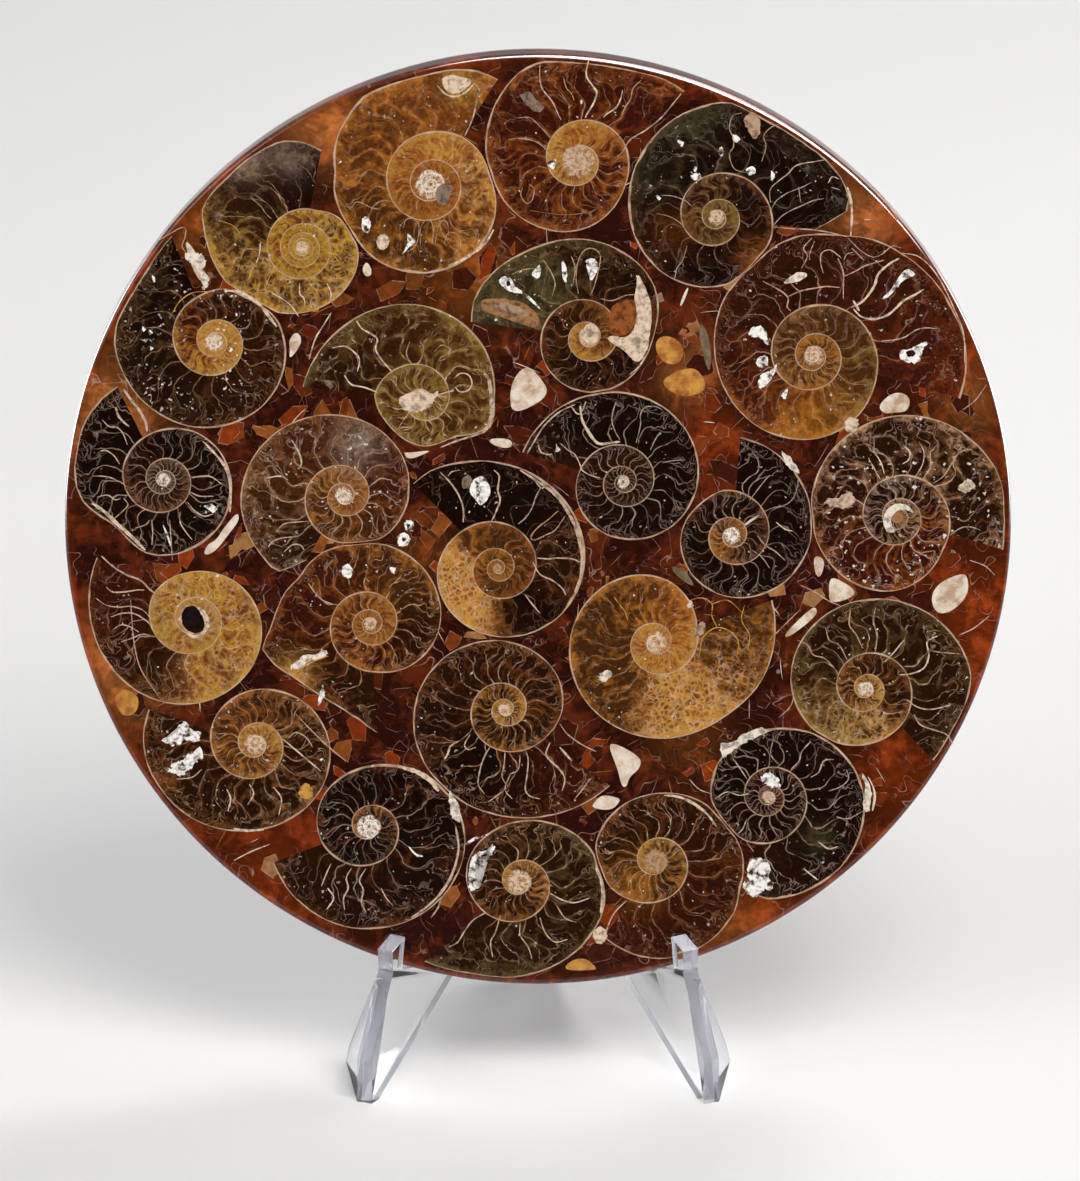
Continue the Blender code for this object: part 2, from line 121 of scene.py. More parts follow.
class Socket:
    """One value in a node tree. Arithmetic on it adds Math nodes."""

    __add__ = __radd__ = maths("ADD")
    __sub__ = maths("SUBTRACT")
    __mul__ = __rmul__ = maths("MULTIPLY")
    __truediv__ = maths("DIVIDE")
    __abs__ = maths("ABSOLUTE")
    least = maths("MINIMUM")
    most = maths("MAXIMUM")

    def __init__(self, tree: "Tree", output: bpy.types.NodeSocket) -> None:
        """Keep the tree and the output socket that the value comes from."""
        self.tree = tree
        self.output = output

    def math(self, operation: str, *others: "Socket | float", **settings: object) -> "Socket":
        """Add a Math node.

        Args:
            operation: The Math node's operation.
            others: The operands after this one.
            settings: Other settings of the node.

        Returns:
            The node's value.
        """
        values = dict(enumerate((self, *others)))
        return self.tree.node("ShaderNodeMath", {"operation": operation, **settings}, values)

    def __rsub__(self, other: float) -> "Socket":
        """other - self."""
        return self * -1.0 + other

    def clamped(self) -> "Socket":
        """Held between 0 and 1."""
        return self.math("ADD", 0.0, use_clamp=True)

    def rise(self, low: "Socket | float", high: "Socket | float") -> "Socket":
        """Go smoothly from 0 at low to 1 at high."""
        values = {"Value": self, "From Min": low, "From Max": high}
        return self.tree.node("ShaderNodeMapRange", {"interpolation_type": "SMOOTHSTEP"}, values)

    def fall(self, low: "Socket | float", high: "Socket | float") -> "Socket":
        """Go smoothly from 1 at low to 0 at high."""
        return 1.0 - self.rise(low, high)


class Tree:
    """A node tree that is written as expressions."""

    def __init__(self, tree: bpy.types.NodeTree) -> None:
        """Keep the tree that nodes are added to."""
        self.tree = tree

    def node(
        self,
        kind: str,
        settings: dict[str, object] | None = None,
        values: dict[str | int, object] | None = None,
        output: str | int = 0,
    ) -> Socket:
        """Add any node.

        Args:
            kind: The node's type name.
            settings: Its properties, set before its sockets. A colour ramp takes "stops".
            values: Numbers, vectors, colours or Sockets, by a socket's index, identifier or name.
            output: The output to return, by index, identifier or name.

        Returns:
            The chosen output.
        """
        made = self.tree.nodes.new(kind)
        for name, value in (settings or {}).items():
            if name == "stops":
                self._set_stops(made.color_ramp, value)
            else:
                setattr(made, name, value)
        for key, value in (values or {}).items():
            socket = self._find(made.inputs, key)
            if isinstance(value, Socket):
                self.tree.links.new(value.output, socket)
            else:
                socket.default_value = value
        return Socket(self, self._find(made.outputs, output)) if made.outputs else None

    @staticmethod
    def _find(sockets: object, key: str | int) -> bpy.types.NodeSocket:
        """Find a socket.

        Args:
            sockets: A node's inputs or outputs.
            key: The socket's index, its identifier or its name.

        Returns:
            The socket.
        """
        if isinstance(key, int):
            return sockets[key]
        for socket in sockets:
            if socket.identifier == key:
                return socket
        return sockets[key]

    @staticmethod
    def _set_stops(ramp: bpy.types.ColorRamp, stops: list[tuple[float, Colour]]) -> None:
        """Give a colour ramp its stops."""
        while len(ramp.elements) < len(stops):
            ramp.elements.new(0.5)
        for element, (position, colour) in zip(ramp.elements, stops):
            element.position = position
            element.color = (*colour, 1.0)

    def number(self, name: str) -> Socket:
        """Read a number attribute of the mesh."""
        return self.node("ShaderNodeAttribute", {"attribute_name": name}, output="Fac")

    def attribute(self, name: str) -> Socket:
        """Read a number attribute of the mesh, in Geometry Nodes."""
        kind = "GeometryNodeInputNamedAttribute"
        return self.node(kind, {"data_type": "FLOAT"}, {"Name": name})

    def colour(self, name: str) -> Socket:
        """Read a colour attribute of the mesh."""
        return self.node("ShaderNodeAttribute", {"attribute_name": name}, output="Color")

    def mix(self, factor: Socket | float, a: Socket | Colour, b: Socket | Colour) -> Socket:
        """Mix two colours.

        Args:
            factor: The share of the second.
            a: The first.
            b: The second.

        Returns:
            The mixed colour.
        """
        values = {"Factor_Float": factor}
        for key, colour in (("A_Color", a), ("B_Color", b)):
            values[key] = colour if isinstance(colour, Socket) else (*colour, 1.0)
        return self.node("ShaderNodeMix", {"data_type": "RGBA"}, values, "Result_Color")

    def vector_math(self, operation: str, *operands: Socket | Colour,
                    output: str | int = 0) -> Socket:
        """Add a Vector Math node."""
        return self.node("ShaderNodeVectorMath", {"operation": operation},
                         dict(enumerate(operands)), output)

    def scaled(self, colour: Socket, factor: Socket | float) -> Socket:
        """Multiply a colour by a number."""
        values = {"Vector": colour, "Scale": factor}
        return self.node("ShaderNodeVectorMath", {"operation": "SCALE"}, values)

    def noise(self, at: Socket, scale: float, detail: float = 2.0, rough: float = 0.55) -> Socket:
        """Smooth noise between 0 and 1, with its features 1 / scale across."""
        values = {"Vector": at, "Scale": scale, "Detail": detail, "Roughness": rough}
        return self.node("ShaderNodeTexNoise", {"noise_dimensions": "3D"}, values)

    def noise_colour(self, at: Socket, scale: Socket | float, detail: float = 2.0) -> Socket:
        """Three unrelated noises, for shifting points."""
        values = {"Vector": at, "Scale": scale, "Detail": detail}
        return self.node("ShaderNodeTexNoise", {"noise_dimensions": "3D"}, values, "Color")

    def cell_edge(self, at: Socket, scale: float) -> Socket:
        """How far a point is from the edge of its Voronoi cell, of cells 1 / scale across."""
        settings = {"feature": "DISTANCE_TO_EDGE", "voronoi_dimensions": "3D"}
        values = {"Vector": at, "Scale": scale}
        return self.node("ShaderNodeTexVoronoi", settings, values, "Distance")

    def vector(self, x: Socket | float, y: Socket | float, z: Socket | float = 0.0) -> Socket:
        """Join three numbers."""
        return self.node("ShaderNodeCombineXYZ", values={0: x, 1: y, 2: z})

    def moved(self, at: Socket, by: Socket, amount: Socket | float) -> Socket:
        """Shift a point by a noise colour, centred on none."""
        centred = self.vector_math("SUBTRACT", by, HALF)
        return self.vector_math("ADD", at, self.scaled(centred, amount))

    def random(self, seed: Socket) -> Socket:
        """A number between 0 and 1 for each value of the seed."""
        return self.node("ShaderNodeTexWhiteNoise", {"noise_dimensions": "1D"}, {"W": seed})


@dataclass(frozen=True)
class DiscPlace:
    """The disc's size in millimetres, and where its face stands in the row frame.

    lean is in degrees. What lies less than face_band behind the face counts as on it.
    """

    radius: float = 100.0
    thickness: float = 10.0
    rounding: float = 1.1
    lean: float = 11.0
    face_band: float = 0.5

    @property
    def matrix(self) -> Matrix:
        """From millimetres on the disc's face to the row frame."""
        lean = math.radians(self.lean)
        out = Vector((0, -math.cos(lean), math.sin(lean)))
        up = Vector((0, math.sin(lean), math.cos(lean)))
        low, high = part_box("matrix_slab")
        middle = (low + high) / 2 + out * self.thickness / 2 * MM
        columns = ((Vector((1, 0, 0)) * MM, 0), (up * MM, 0), (out * MM, 0), (middle, 1))
        return Matrix([(*column, last) for column, last in columns]).transposed()

    def coordinates(self, tree: Tree) -> Socket:
        """Give a material the disc's own millimetres.

        Args:
            tree: The material's tree.

        Returns:
            The point as right, up and out of the face.
        """
        values = {"Vector": tree.node("ShaderNodeTexCoord", output="Object"),
                  "Location": self.matrix.translation,
                  "Rotation": (math.radians(90 - self.lean), 0, 0), "Scale": (MM, MM, MM)}
        return tree.node("ShaderNodeMapping", {"vector_type": "TEXTURE"}, values)


PLACE = DiscPlace()


class Finish:
    """One Principled shader, with what changes over the surface linked to it."""

    roughness = 0.5
    ior = 1.5
    transmission = 0.0
    specular = 0.5

    def material(self, name: str) -> bpy.types.Material:
        """Build the finish.

        Args:
            name: The material's name.

        Returns:
            The material.
        """
        made = bpy.data.materials.new(name)
        made.use_nodes = True
        shader = made.node_tree.nodes["Principled BSDF"]
        shader.inputs["Roughness"].default_value = self.roughness
        shader.inputs["IOR"].default_value = self.ior
        shader.inputs["Transmission Weight"].default_value = self.transmission
        shader.inputs["Specular IOR Level"].default_value = self.specular
        tree = Tree(made.node_tree)
        for socket, value in self.looks(tree).items():
            tree.tree.links.new(value.output, shader.inputs[socket])
        self.adjust(made.node_tree, shader)
        return made

    def looks(self, tree: Tree) -> dict[str, Socket]:
        """Work out the values that are linked to the shader's sockets."""
        return {}

    def adjust(self, tree: bpy.types.NodeTree, shader: bpy.types.Node) -> None:
        """Set what else this finish needs."""

    @staticmethod
    def bump(tree: Tree, height: Socket, distance: float) -> Socket:
        """Turn a height into a normal. distance is in metres."""
        values = {"Height": height, "Distance": distance, "Strength": 1.0}
        return tree.node("ShaderNodeBump", values=values)


# Ammonites


@dataclass(frozen=True)
class Tone:
    """The fillings at a point along a coil.

    turns counts back from the mouth. glow is the share of the light colour in the dark one, and
    comb is honeycomb.
    """

    turns: float
    dark: Hue
    light: Hue
    glow: float
    comb: float = 0.0

    @classmethod
    def chain(cls, text: str) -> tuple["Tone", ...]:
        """Read a coil's tones, from its mouth inwards.

        Args:
            text: For each its turns, its dark and light hues, its glow and, if it has any, its
                comb. Commas part the tones.

        Returns:
            The tones.
        """
        rows = (tone.split() for tone in text.split(","))
        return tuple(cls(float(turns), Hue[dark.upper()], Hue[light.upper()], *map(float, rest))
                     for turns, dark, light, *rest in rows)


@dataclass(frozen=True)
class Spot:
    """A soft spot of crystal or of another colour, in millimetres on the disc's face."""

    u: float
    v: float
    size: float
    hue: Hue | None = None
    crystal: float = 0.0
    glow: float = 0.0
    comb: float = 0.0


@dataclass(frozen=True)
class Cut:
    """A point on a coil's cut face, and what the finish knows of it.

    at is in the disc's millimetres. across goes from 0 at the inner wall to 1 at the outer, with
    to_inner and to_outer the way to each and width both together. bent counts the septa, and gap
    is the way to the nearest one. fold is how deep the point is in one of the folds: 0 on the
    fold's wall, below 0 outside every fold.
    """

    tree: Tree
    at: Socket
    across: Socket
    width: Socket
    to_outer: Socket
    to_inner: Socket
    bent: Socket
    gap: Socket
    fold: Socket


@dataclass(frozen=True)
class CoilFinish(Finish):
    """How one ammonite's cut face looks. Lengths are in millimetres."""

    seed: float
    heart: float
    heart_hue: Hue = Hue.CREAM
    dot: float = 0.02
    septum: float = 0.12
    septum_hue: Hue = Hue.SHELL
    fold_hue: Hue = Hue.BRONZE
    shell: float = 0.40
    shell_hue: Hue = Hue.SHELL
    bend: float = 0.34
    tilt: float = -0.15
    folds: float = 1.3
    rows: float = 2.2
    flecks: float = 0.5
    contrast: float = 1.0
    lines: float = 1.0

    roughness = 0.14
    ior = 1.55

    def looks(self, tree: Tree) -> dict[str, Socket]:
        """Fillings, crystal, septa, heart and shell, one over the other."""
        at = PLACE.coordinates(tree)
        across, pitch, width = map(tree.number, ("across", "pitch", "width"))
        bent = self._septa(tree, at, across)
        gap = (0.5 - abs(bent.math("FRACT") - 0.5)) * pitch
        cut = Cut(tree, at, across, width, (1.0 - across) * width, across * width, bent, gap,
                  self._folds(tree, at, bent, across))
        fill, crystal = self._crystal(cut, self._comb(cut, self._fillings(cut)))
        clear = tree.number("reach").rise(self.heart * 0.7, self.heart * 1.3)
        tint = tree.mix(tree.noise(at, 0.6).rise(0.42, 0.66), self.fold_hue.value,
                        self.septum_hue.value)
        fill = tree.mix(self._lines(cut) * clear, fill, tint)
        shell, shade = self._shell(cut)
        fill = tree.mix(shell, self._heart(cut, fill), shade)
        rough = (0.10 + crystal * 0.25 + shell * 0.1).clamped()
        return {"Base Color": fill, "Roughness": rough, "Normal": self.bump(tree, shell, 0.000006)}

    def _septa(self, tree: Tree, at: Socket, across: Socket) -> Socket:
        """Count the septa, bent into their S.

        Args:
            tree: The material's tree.
            at: The point in the disc's millimetres.
            across: Its share of the way from the inner wall to the outer.

        Returns:
            The count.
        """
        wave = (across * (2 * math.pi * 0.9) + 0.35).math("SINE") * self.bend
        slow = tree.noise(at, 0.16, 1.0) - 0.5
        quick = tree.noise(at, 0.5, 1.0) - 0.5
        ruffle = (across.rise(0.35, 0.9) * 0.75 + 0.2) * tree.number("width").rise(1.0, 9.0)
        return tree.number("septum") + wave + across * self.tilt + slow * 0.9 + quick * ruffle

    def _folds(self, tree: Tree, at: Socket, bent: Socket, across: Socket) -> Socket:
        """Find the round folds that the septa break into.

        Args:
            tree: The material's tree.
            at: The point in the disc's millimetres.
            bent: The count of septa.
            across: Its share of the way from the inner wall to the outer.

        Returns:
            How deep a point is in its fold: 0 on the fold's wall, below 0 outside every fold.
        """
        where = tree.vector(bent * self.folds, across * self.rows, self.seed)
        where = tree.moved(where, tree.noise_colour(at, 0.3, 1.0), 0.5)
        settings = {"voronoi_dimensions": "2D"}
        values = {"Vector": where, "Scale": 1.0, "Randomness": 0.8}
        kind = "ShaderNodeTexVoronoi"
        edge = tree.node(kind, {"feature": "DISTANCE_TO_EDGE", **settings}, values, "Distance")
        middle = tree.node(kind, {"feature": "F1", **settings}, values, "Distance")
        return (edge * 1.2 - 0.03).least(0.52 - middle)

    def _fillings(self, cut: Cut) -> Socket:
        """Dark chambers that glow along their walls, mottled and streaked.

        Args:
            cut: The point.

        Returns:
            Its colour.
        """
        tree, at, bent, to_inner = cut.tree, cut.at, cut.bent, cut.to_inner
        middle = cut.gap.least(to_inner).rise(0.1, 1.1) * 0.24
        hollow = cut.fold.rise(0.0, 0.2) * (1.0 - cut.to_outer.fall(0.6, 2.2)) * 0.5
        band = cut.to_outer.fall(0.2, 2.0)
        chamber = tree.random(bent.math("FLOOR") + self.seed) - 0.5
        warped = tree.moved(at, tree.noise_colour(at, 0.35, 1.0), 2.0)
        cloud = tree.noise(warped, 0.17, 1.0) - 0.5
        mottle = tree.noise(warped, 0.75, 2.0, 0.5) - 0.5
        streak = tree.noise(tree.vector(bent * 4.0, to_inner * 0.12, self.seed), 1.0, 2.0) - 0.5
        amount = (
            tree.number("glow") + 0.26 + band * 0.3 - middle - hollow + chamber * 0.36
            + (cloud * 1.1 + mottle * 1.3 + streak * tree.number("streak")) * self.contrast
        )
        low, high = amount.rise(0.05, 0.6), amount.rise(0.5, 1.25)
        fill = tree.mix(low, tree.colour("dark"), tree.colour("middle"))
        fill = tree.mix(high, fill, tree.colour("light"))
        return tree.scaled(fill, 0.2 + tree.noise(at, 1.3, 2.0, 0.6) * 1.35)

    def _comb(self, cut: Cut, fill: Socket) -> Socket:
        """Golden honeycomb of small crystals, where the coil has it.

        Args:
            cut: The point.
            fill: Its colour so far.

        Returns:
            Its colour.
        """
        tree, at = cut.tree, cut.at
        where = tree.moved(at, tree.noise_colour(at, 0.6, 1.0), 1.6)
        edge = tree.cell_edge(where, 0.85).fall(0.02, 0.3)
        rag = tree.noise(at, 0.35, 3.0) - 0.5
        show = (tree.number("comb") + rag * 1.4).rise(0.25, 0.75)
        pale = tree.noise(at, 0.5, 2.0).rise(0.35, 0.7) * 0.45
        gold = tree.mix(pale, tree.colour("light"), Hue.CREAM.value)
        cell = tree.mix(edge, tree.colour("middle"), gold)
        cell = tree.scaled(cell, 0.25 + tree.noise(at, 0.45, 2.0) * 1.2)
        return tree.mix(show * (0.2 + edge * 0.65), fill, cell)

    def _crystal(self, cut: Cut, fill: Socket) -> tuple[Socket, Socket]:
        """White crystal where the coil has it, and scattered flecks.

        Args:
            cut: The point.
            fill: Its colour so far.

        Returns:
            Its colour, and how much of it is crystal.
        """
        tree, at = cut.tree, cut.at
        rag = tree.noise(tree.moved(at, tree.noise_colour(at, 1.1), 1.2), 0.6, 3.0, 0.6)
        patch = (rag + tree.number("crystal") - 0.92).rise(0.0, 0.14)
        region = tree.noise(at, 0.13, 1.0).rise(0.4, 0.66)
        speck = tree.noise(at, 0.95, 2.0, 0.5)
        fleck = (speck - (0.70 - 0.05 * self.flecks)).rise(0.0, 0.05) * region
        show = patch.most(fleck * 0.85).clamped()
        white = tree.mix(tree.noise(at, 1.8, 2.0).rise(0.3, 0.6), Hue.SHELL.value, Hue.WHITE.value)
        return tree.mix(show, fill, white), show

    def _lines(self, cut: Cut) -> Socket:
        """Thin pale septa that fork on their way out, and a faint net between them.

        Args:
            cut: The point.

        Returns:
            How clearly a line shows there.
        """
        tree, at, across, bent = cut.tree, cut.at, cut.across, cut.bent
        near = (bent + 0.5).math("FLOOR")
        own = tree.random(near + self.seed * 3.7)
        fork = 0.28 + own * 0.38
        branch = abs(abs(bent - near) - across.rise(fork, fork + 0.28) * (0.13 + own * 0.14))
        twig = abs(branch - across.rise(0.68, 0.9) * 0.1) * tree.number("pitch")
        thick = self.septum * (1.0 - across * 0.7) * tree.number("width").rise(0.5, 6.0)
        line = twig.fall(thick * 0.4, thick * 0.4 + 0.14)
        strength = 0.35 + 0.8 * tree.random(near + self.seed * 5.1)
        patchy = tree.noise(at, 0.4, 2.0).rise(0.25, 0.5)
        main = line * strength * patchy * (1.0 - 0.45 * across.rise(0.3, 0.95))
        net = abs(cut.fold).fall(0.004, 0.04) * tree.noise(at, 0.22, 2.0).rise(0.42, 0.6)
        net = net * across.rise(0.3, 0.6) * across.fall(0.86, 0.97)
        found = (main * tree.number("septa")).most(net * tree.number("net"))
        return (found * self.lines).clamped()

    def _heart(self, cut: Cut, fill: Socket) -> Socket:
        """Pale mottled middle, ribbed like the whorls, with a dark dot.

        Args:
            cut: The point.
            fill: Its colour so far.

        Returns:
            Its colour.
        """
        tree, at, bent = cut.tree, cut.at, cut.bent
        reach = tree.number("reach")
        rag = (tree.noise(at, 0.7, 2.0) - 0.5) * 0.6 * self.heart
        pale = (reach + rag).fall(self.heart - 0.4, self.heart + 0.15)
        rib = tree.noise(tree.vector(bent * 3.0, reach * 0.4, self.seed), 1.0, 1.0)
        speckle = (tree.noise(at, 1.2, 2.0) * 0.6 + rib * 0.5).rise(0.42, 0.66)
        stone = tree.mix(speckle, Hue.BRONZE.value, self.heart_hue.value)
        fill = tree.mix(pale * (0.7 + speckle * 0.25), fill, stone)
        return tree.mix(reach.fall(self.dot * 0.6, self.dot), fill, Hue.UMBER.value)

    def _shell(self, cut: Cut) -> tuple[Socket, Socket]:
        """The wall between the whorls.

        Args:
            cut: The point.

        Returns:
            How far the point is in the wall, and the wall's colour.
        """
        tree, at = cut.tree, cut.at
        uneven = 0.25 + tree.noise(at, 0.16, 2.0).rise(0.3, 0.75) * 1.1
        core = tree.number("reach").fall(self.heart * 0.7, self.heart * 1.3)
        thick = (cut.width * (0.06 + core * 0.12)).least(self.shell)
        thick = uneven * thick * tree.number("wall")
        wall = cut.to_outer.fall(thick * 0.7, thick * 0.7 + 0.14)
        wall = wall.most(cut.to_inner.fall(0.02, 0.12) * 0.6)
        shade = tree.mix(tree.noise(at, 0.3, 3.0).rise(0.35, 0.7), Hue.TAN.value,
                         self.shell_hue.value)
        shade = tree.mix(core, shade, self.heart_hue.value)
        return wall * (0.5 + 0.5 * tree.noise(at, 0.35, 2.0).rise(0.3, 0.6)), shade


class ShapeTree:
    """A Geometry Nodes tree with named inputs, which turns an object into a finished mesh."""

    name = "shape"
    kinds: dict[str, str] = {}

    def __init__(self) -> None:
        """Make the tree with its inputs, and add its nodes."""
        self.group = bpy.data.node_groups.new(self.name, "GeometryNodeTree")
        sockets = self.group.interface
        sockets.new_socket("Geometry", in_out="OUTPUT", socket_type="NodeSocketGeometry")
        kinds = {"Geometry": "Geometry", **self.kinds, "Material": "Material"}
        self.inputs = {
            label: sockets.new_socket(
                label, in_out="INPUT", socket_type=f"NodeSocket{kind}").identifier
            for label, kind in kinds.items()
        }
        tree = Tree(self.group)
        start = tree.tree.nodes.new("NodeGroupInput")
        given = {label: Socket(tree, start.outputs[label]) for label in self.inputs}
        values = {"Geometry": self.shape(tree, given), "Material": given["Material"]}
        done = tree.node("GeometryNodeSetMaterial", values=values)
        end = tree.tree.nodes.new("NodeGroupOutput")
        tree.tree.links.new(done.output, end.inputs[0])

    def shape(self, tree: Tree, given: dict[str, Socket]) -> Socket:
        """Add the nodes that make the shape.

        Args:
            tree: The tree.
            given: Its inputs by name.

        Returns:
            The shape, with its instances realized.
        """
        raise NotImplementedError

    def run(self, source: bpy.types.Object, values: dict[str, object]) -> bpy.types.Mesh:
        """Run the tree on an object.

        Args:
            source: The object that the tree starts from. It is removed.
            values: The tree's inputs by name.

        Returns:
            The result as a plain mesh.
        """
        modifier = source.modifiers.new("shape", "NODES")
        modifier.node_group = self.group
        for label, value in values.items():
            modifier[self.inputs[label]] = value
        source.update_tag()
        graph = bpy.context.evaluated_depsgraph_get()
        mesh = bpy.data.meshes.new_from_object(source.evaluated_get(graph))
        bpy.data.objects.remove(source)
        return mesh


class CoilTree(ShapeTree):
    """Winds a flat strip into a coil and gives it a body."""

    name = "wind_coil"
    kinds = {"Middle": "Vector", "Depth": "Float", "Weld": "Float"}

    def shape(self, tree: Tree, given: dict[str, Socket]) -> Socket:
        """Add the nodes: the wound face, a skirt round it and a lid under it."""
        bearing, inner, outer, share = map(tree.attribute, ("bearing", "inner", "outer", "share"))
        reach = inner + (outer - inner) * share
        offset = tree.vector(bearing.math("COSINE") * reach, bearing.math("SINE") * reach)
        point = tree.vector_math("ADD", given["Middle"], offset)
        values = {"Geometry": given["Geometry"], "Position": point}
        wound = tree.node("GeometryNodeSetPosition", values=values)
        weld = {"Distance": given["Weld"]}
        top = tree.node("GeometryNodeMergeByDistance", values={"Geometry": wound, **weld})
        rim = tree.node("GeometryNodeInputMeshEdgeNeighbors").math("COMPARE", 1.0, 0.1)
        down = tree.vector(0.0, 0.0, given["Depth"] * -1.0)
        values = {"Mesh": top, "Selection": rim, "Offset": down}
        skirt = tree.node("GeometryNodeExtrudeMesh", {"mode": "EDGES"}, values)
        loop = tree.node("GeometryNodeMeshToCurve", values={"Mesh": top, "Selection": rim})
        lid = tree.node("GeometryNodeFillCurve", values={"Curve": loop})
        lid = tree.node("GeometryNodeSetPosition", values={"Geometry": lid, "Offset": down})
        join = tree.tree.nodes.new("GeometryNodeJoinGeometry")
        for part in (lid, skirt):
            tree.tree.links.new(part.output, join.inputs[0])
        values = {"Geometry": Socket(tree, join.outputs[0]), **weld}
        solid = tree.node("GeometryNodeMergeByDistance", values=values)
        return tree.node("GeometryNodeRealizeInstances", values={"Geometry": solid})


def raised(height: float) -> Matrix:
    """From the disc's own millimetres, this far out of its face, to the row frame."""
    return PLACE.matrix @ Matrix.Translation((0, 0, height))


def new_mesh(name: str, body: bmesh.types.BMesh,
             material: bpy.types.Material | None = None) -> bpy.types.Mesh:
    """Turn a finished bmesh into a mesh, and free it.

    Args:
        name: The mesh's name.
        body: The bmesh.
        material: Its material, if it has one already.

    Returns:
        The mesh.
    """
    mesh = bpy.data.meshes.new(name)
    body.to_mesh(mesh)
    body.free()
    if material:
        mesh.materials.append(material)
    return mesh


def linked_object(name: str, mesh: bpy.types.Mesh) -> bpy.types.Object:
    """Put a mesh into the scene as an object."""
    made = bpy.data.objects.new(name, mesh)
    bpy.context.scene.collection.objects.link(made)
    return made


def place_piece(name: str, mesh: bpy.types.Mesh, nodes: list[str],
                matrix: Matrix | None = None, outward: bool = True) -> bpy.types.Object:
    """Make a finished piece: its place goes into its mesh, and it rides with the disc.

    Args:
        name: The piece's name.
        mesh: Its mesh.
        nodes: The CAD nodes that it stands for.
        matrix: From the mesh's own units to the row frame.
        outward: Whether its faces are turned outwards first.

    Returns:
        The piece.
    """
    if matrix is not None:
        mesh.transform(matrix)
    if outward:
        body = bmesh.new()
        body.from_mesh(mesh)
        bmesh.ops.recalc_face_normals(body, faces=body.faces)
        body.to_mesh(mesh)
        body.free()
    made = linked_object(name, mesh)
    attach(made, BODY)
    if nodes:
        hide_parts(*nodes)
    LOG.info("%s: %d faces", name, len(mesh.polygons))
    return made


def front_loop(node: str) -> np.ndarray:
    """Read the corners round an inlay's front face.

    Args:
        node: The inlay's CAD node.

    Returns:
        The corners in order, as rows of millimetres right and up on the disc's face.
    """
    body = bmesh.new()
    body.from_mesh(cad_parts[node].data)
    bmesh.ops.remove_doubles(body, verts=body.verts, dist=WELD)
    bmesh.ops.transform(body, matrix=PLACE.matrix.inverted(), verts=body.verts)
    front = {face for face in body.faces
             if all(vert.co.z > -PLACE.face_band for vert in face.verts)}
    edges = [edge for edge in body.edges if sum(face in front for face in edge.link_faces) == 1]
    following: dict[int, list[bmesh.types.BMVert]] = {}
    for edge in edges:
        a, b = edge.verts
        following.setdefault(a.index, []).append(b)
        following.setdefault(b.index, []).append(a)
    start = edges[0].verts[0]
    loop, before, here = [start], None, start
    while True:
        options = [vert for vert in following[here.index] if vert is not before]
        before, here = here, options[0]
        if here is start:
            break
        loop.append(here)
    corners = np.array([(vert.co.x, vert.co.y) for vert in loop])
    body.free()
    return corners


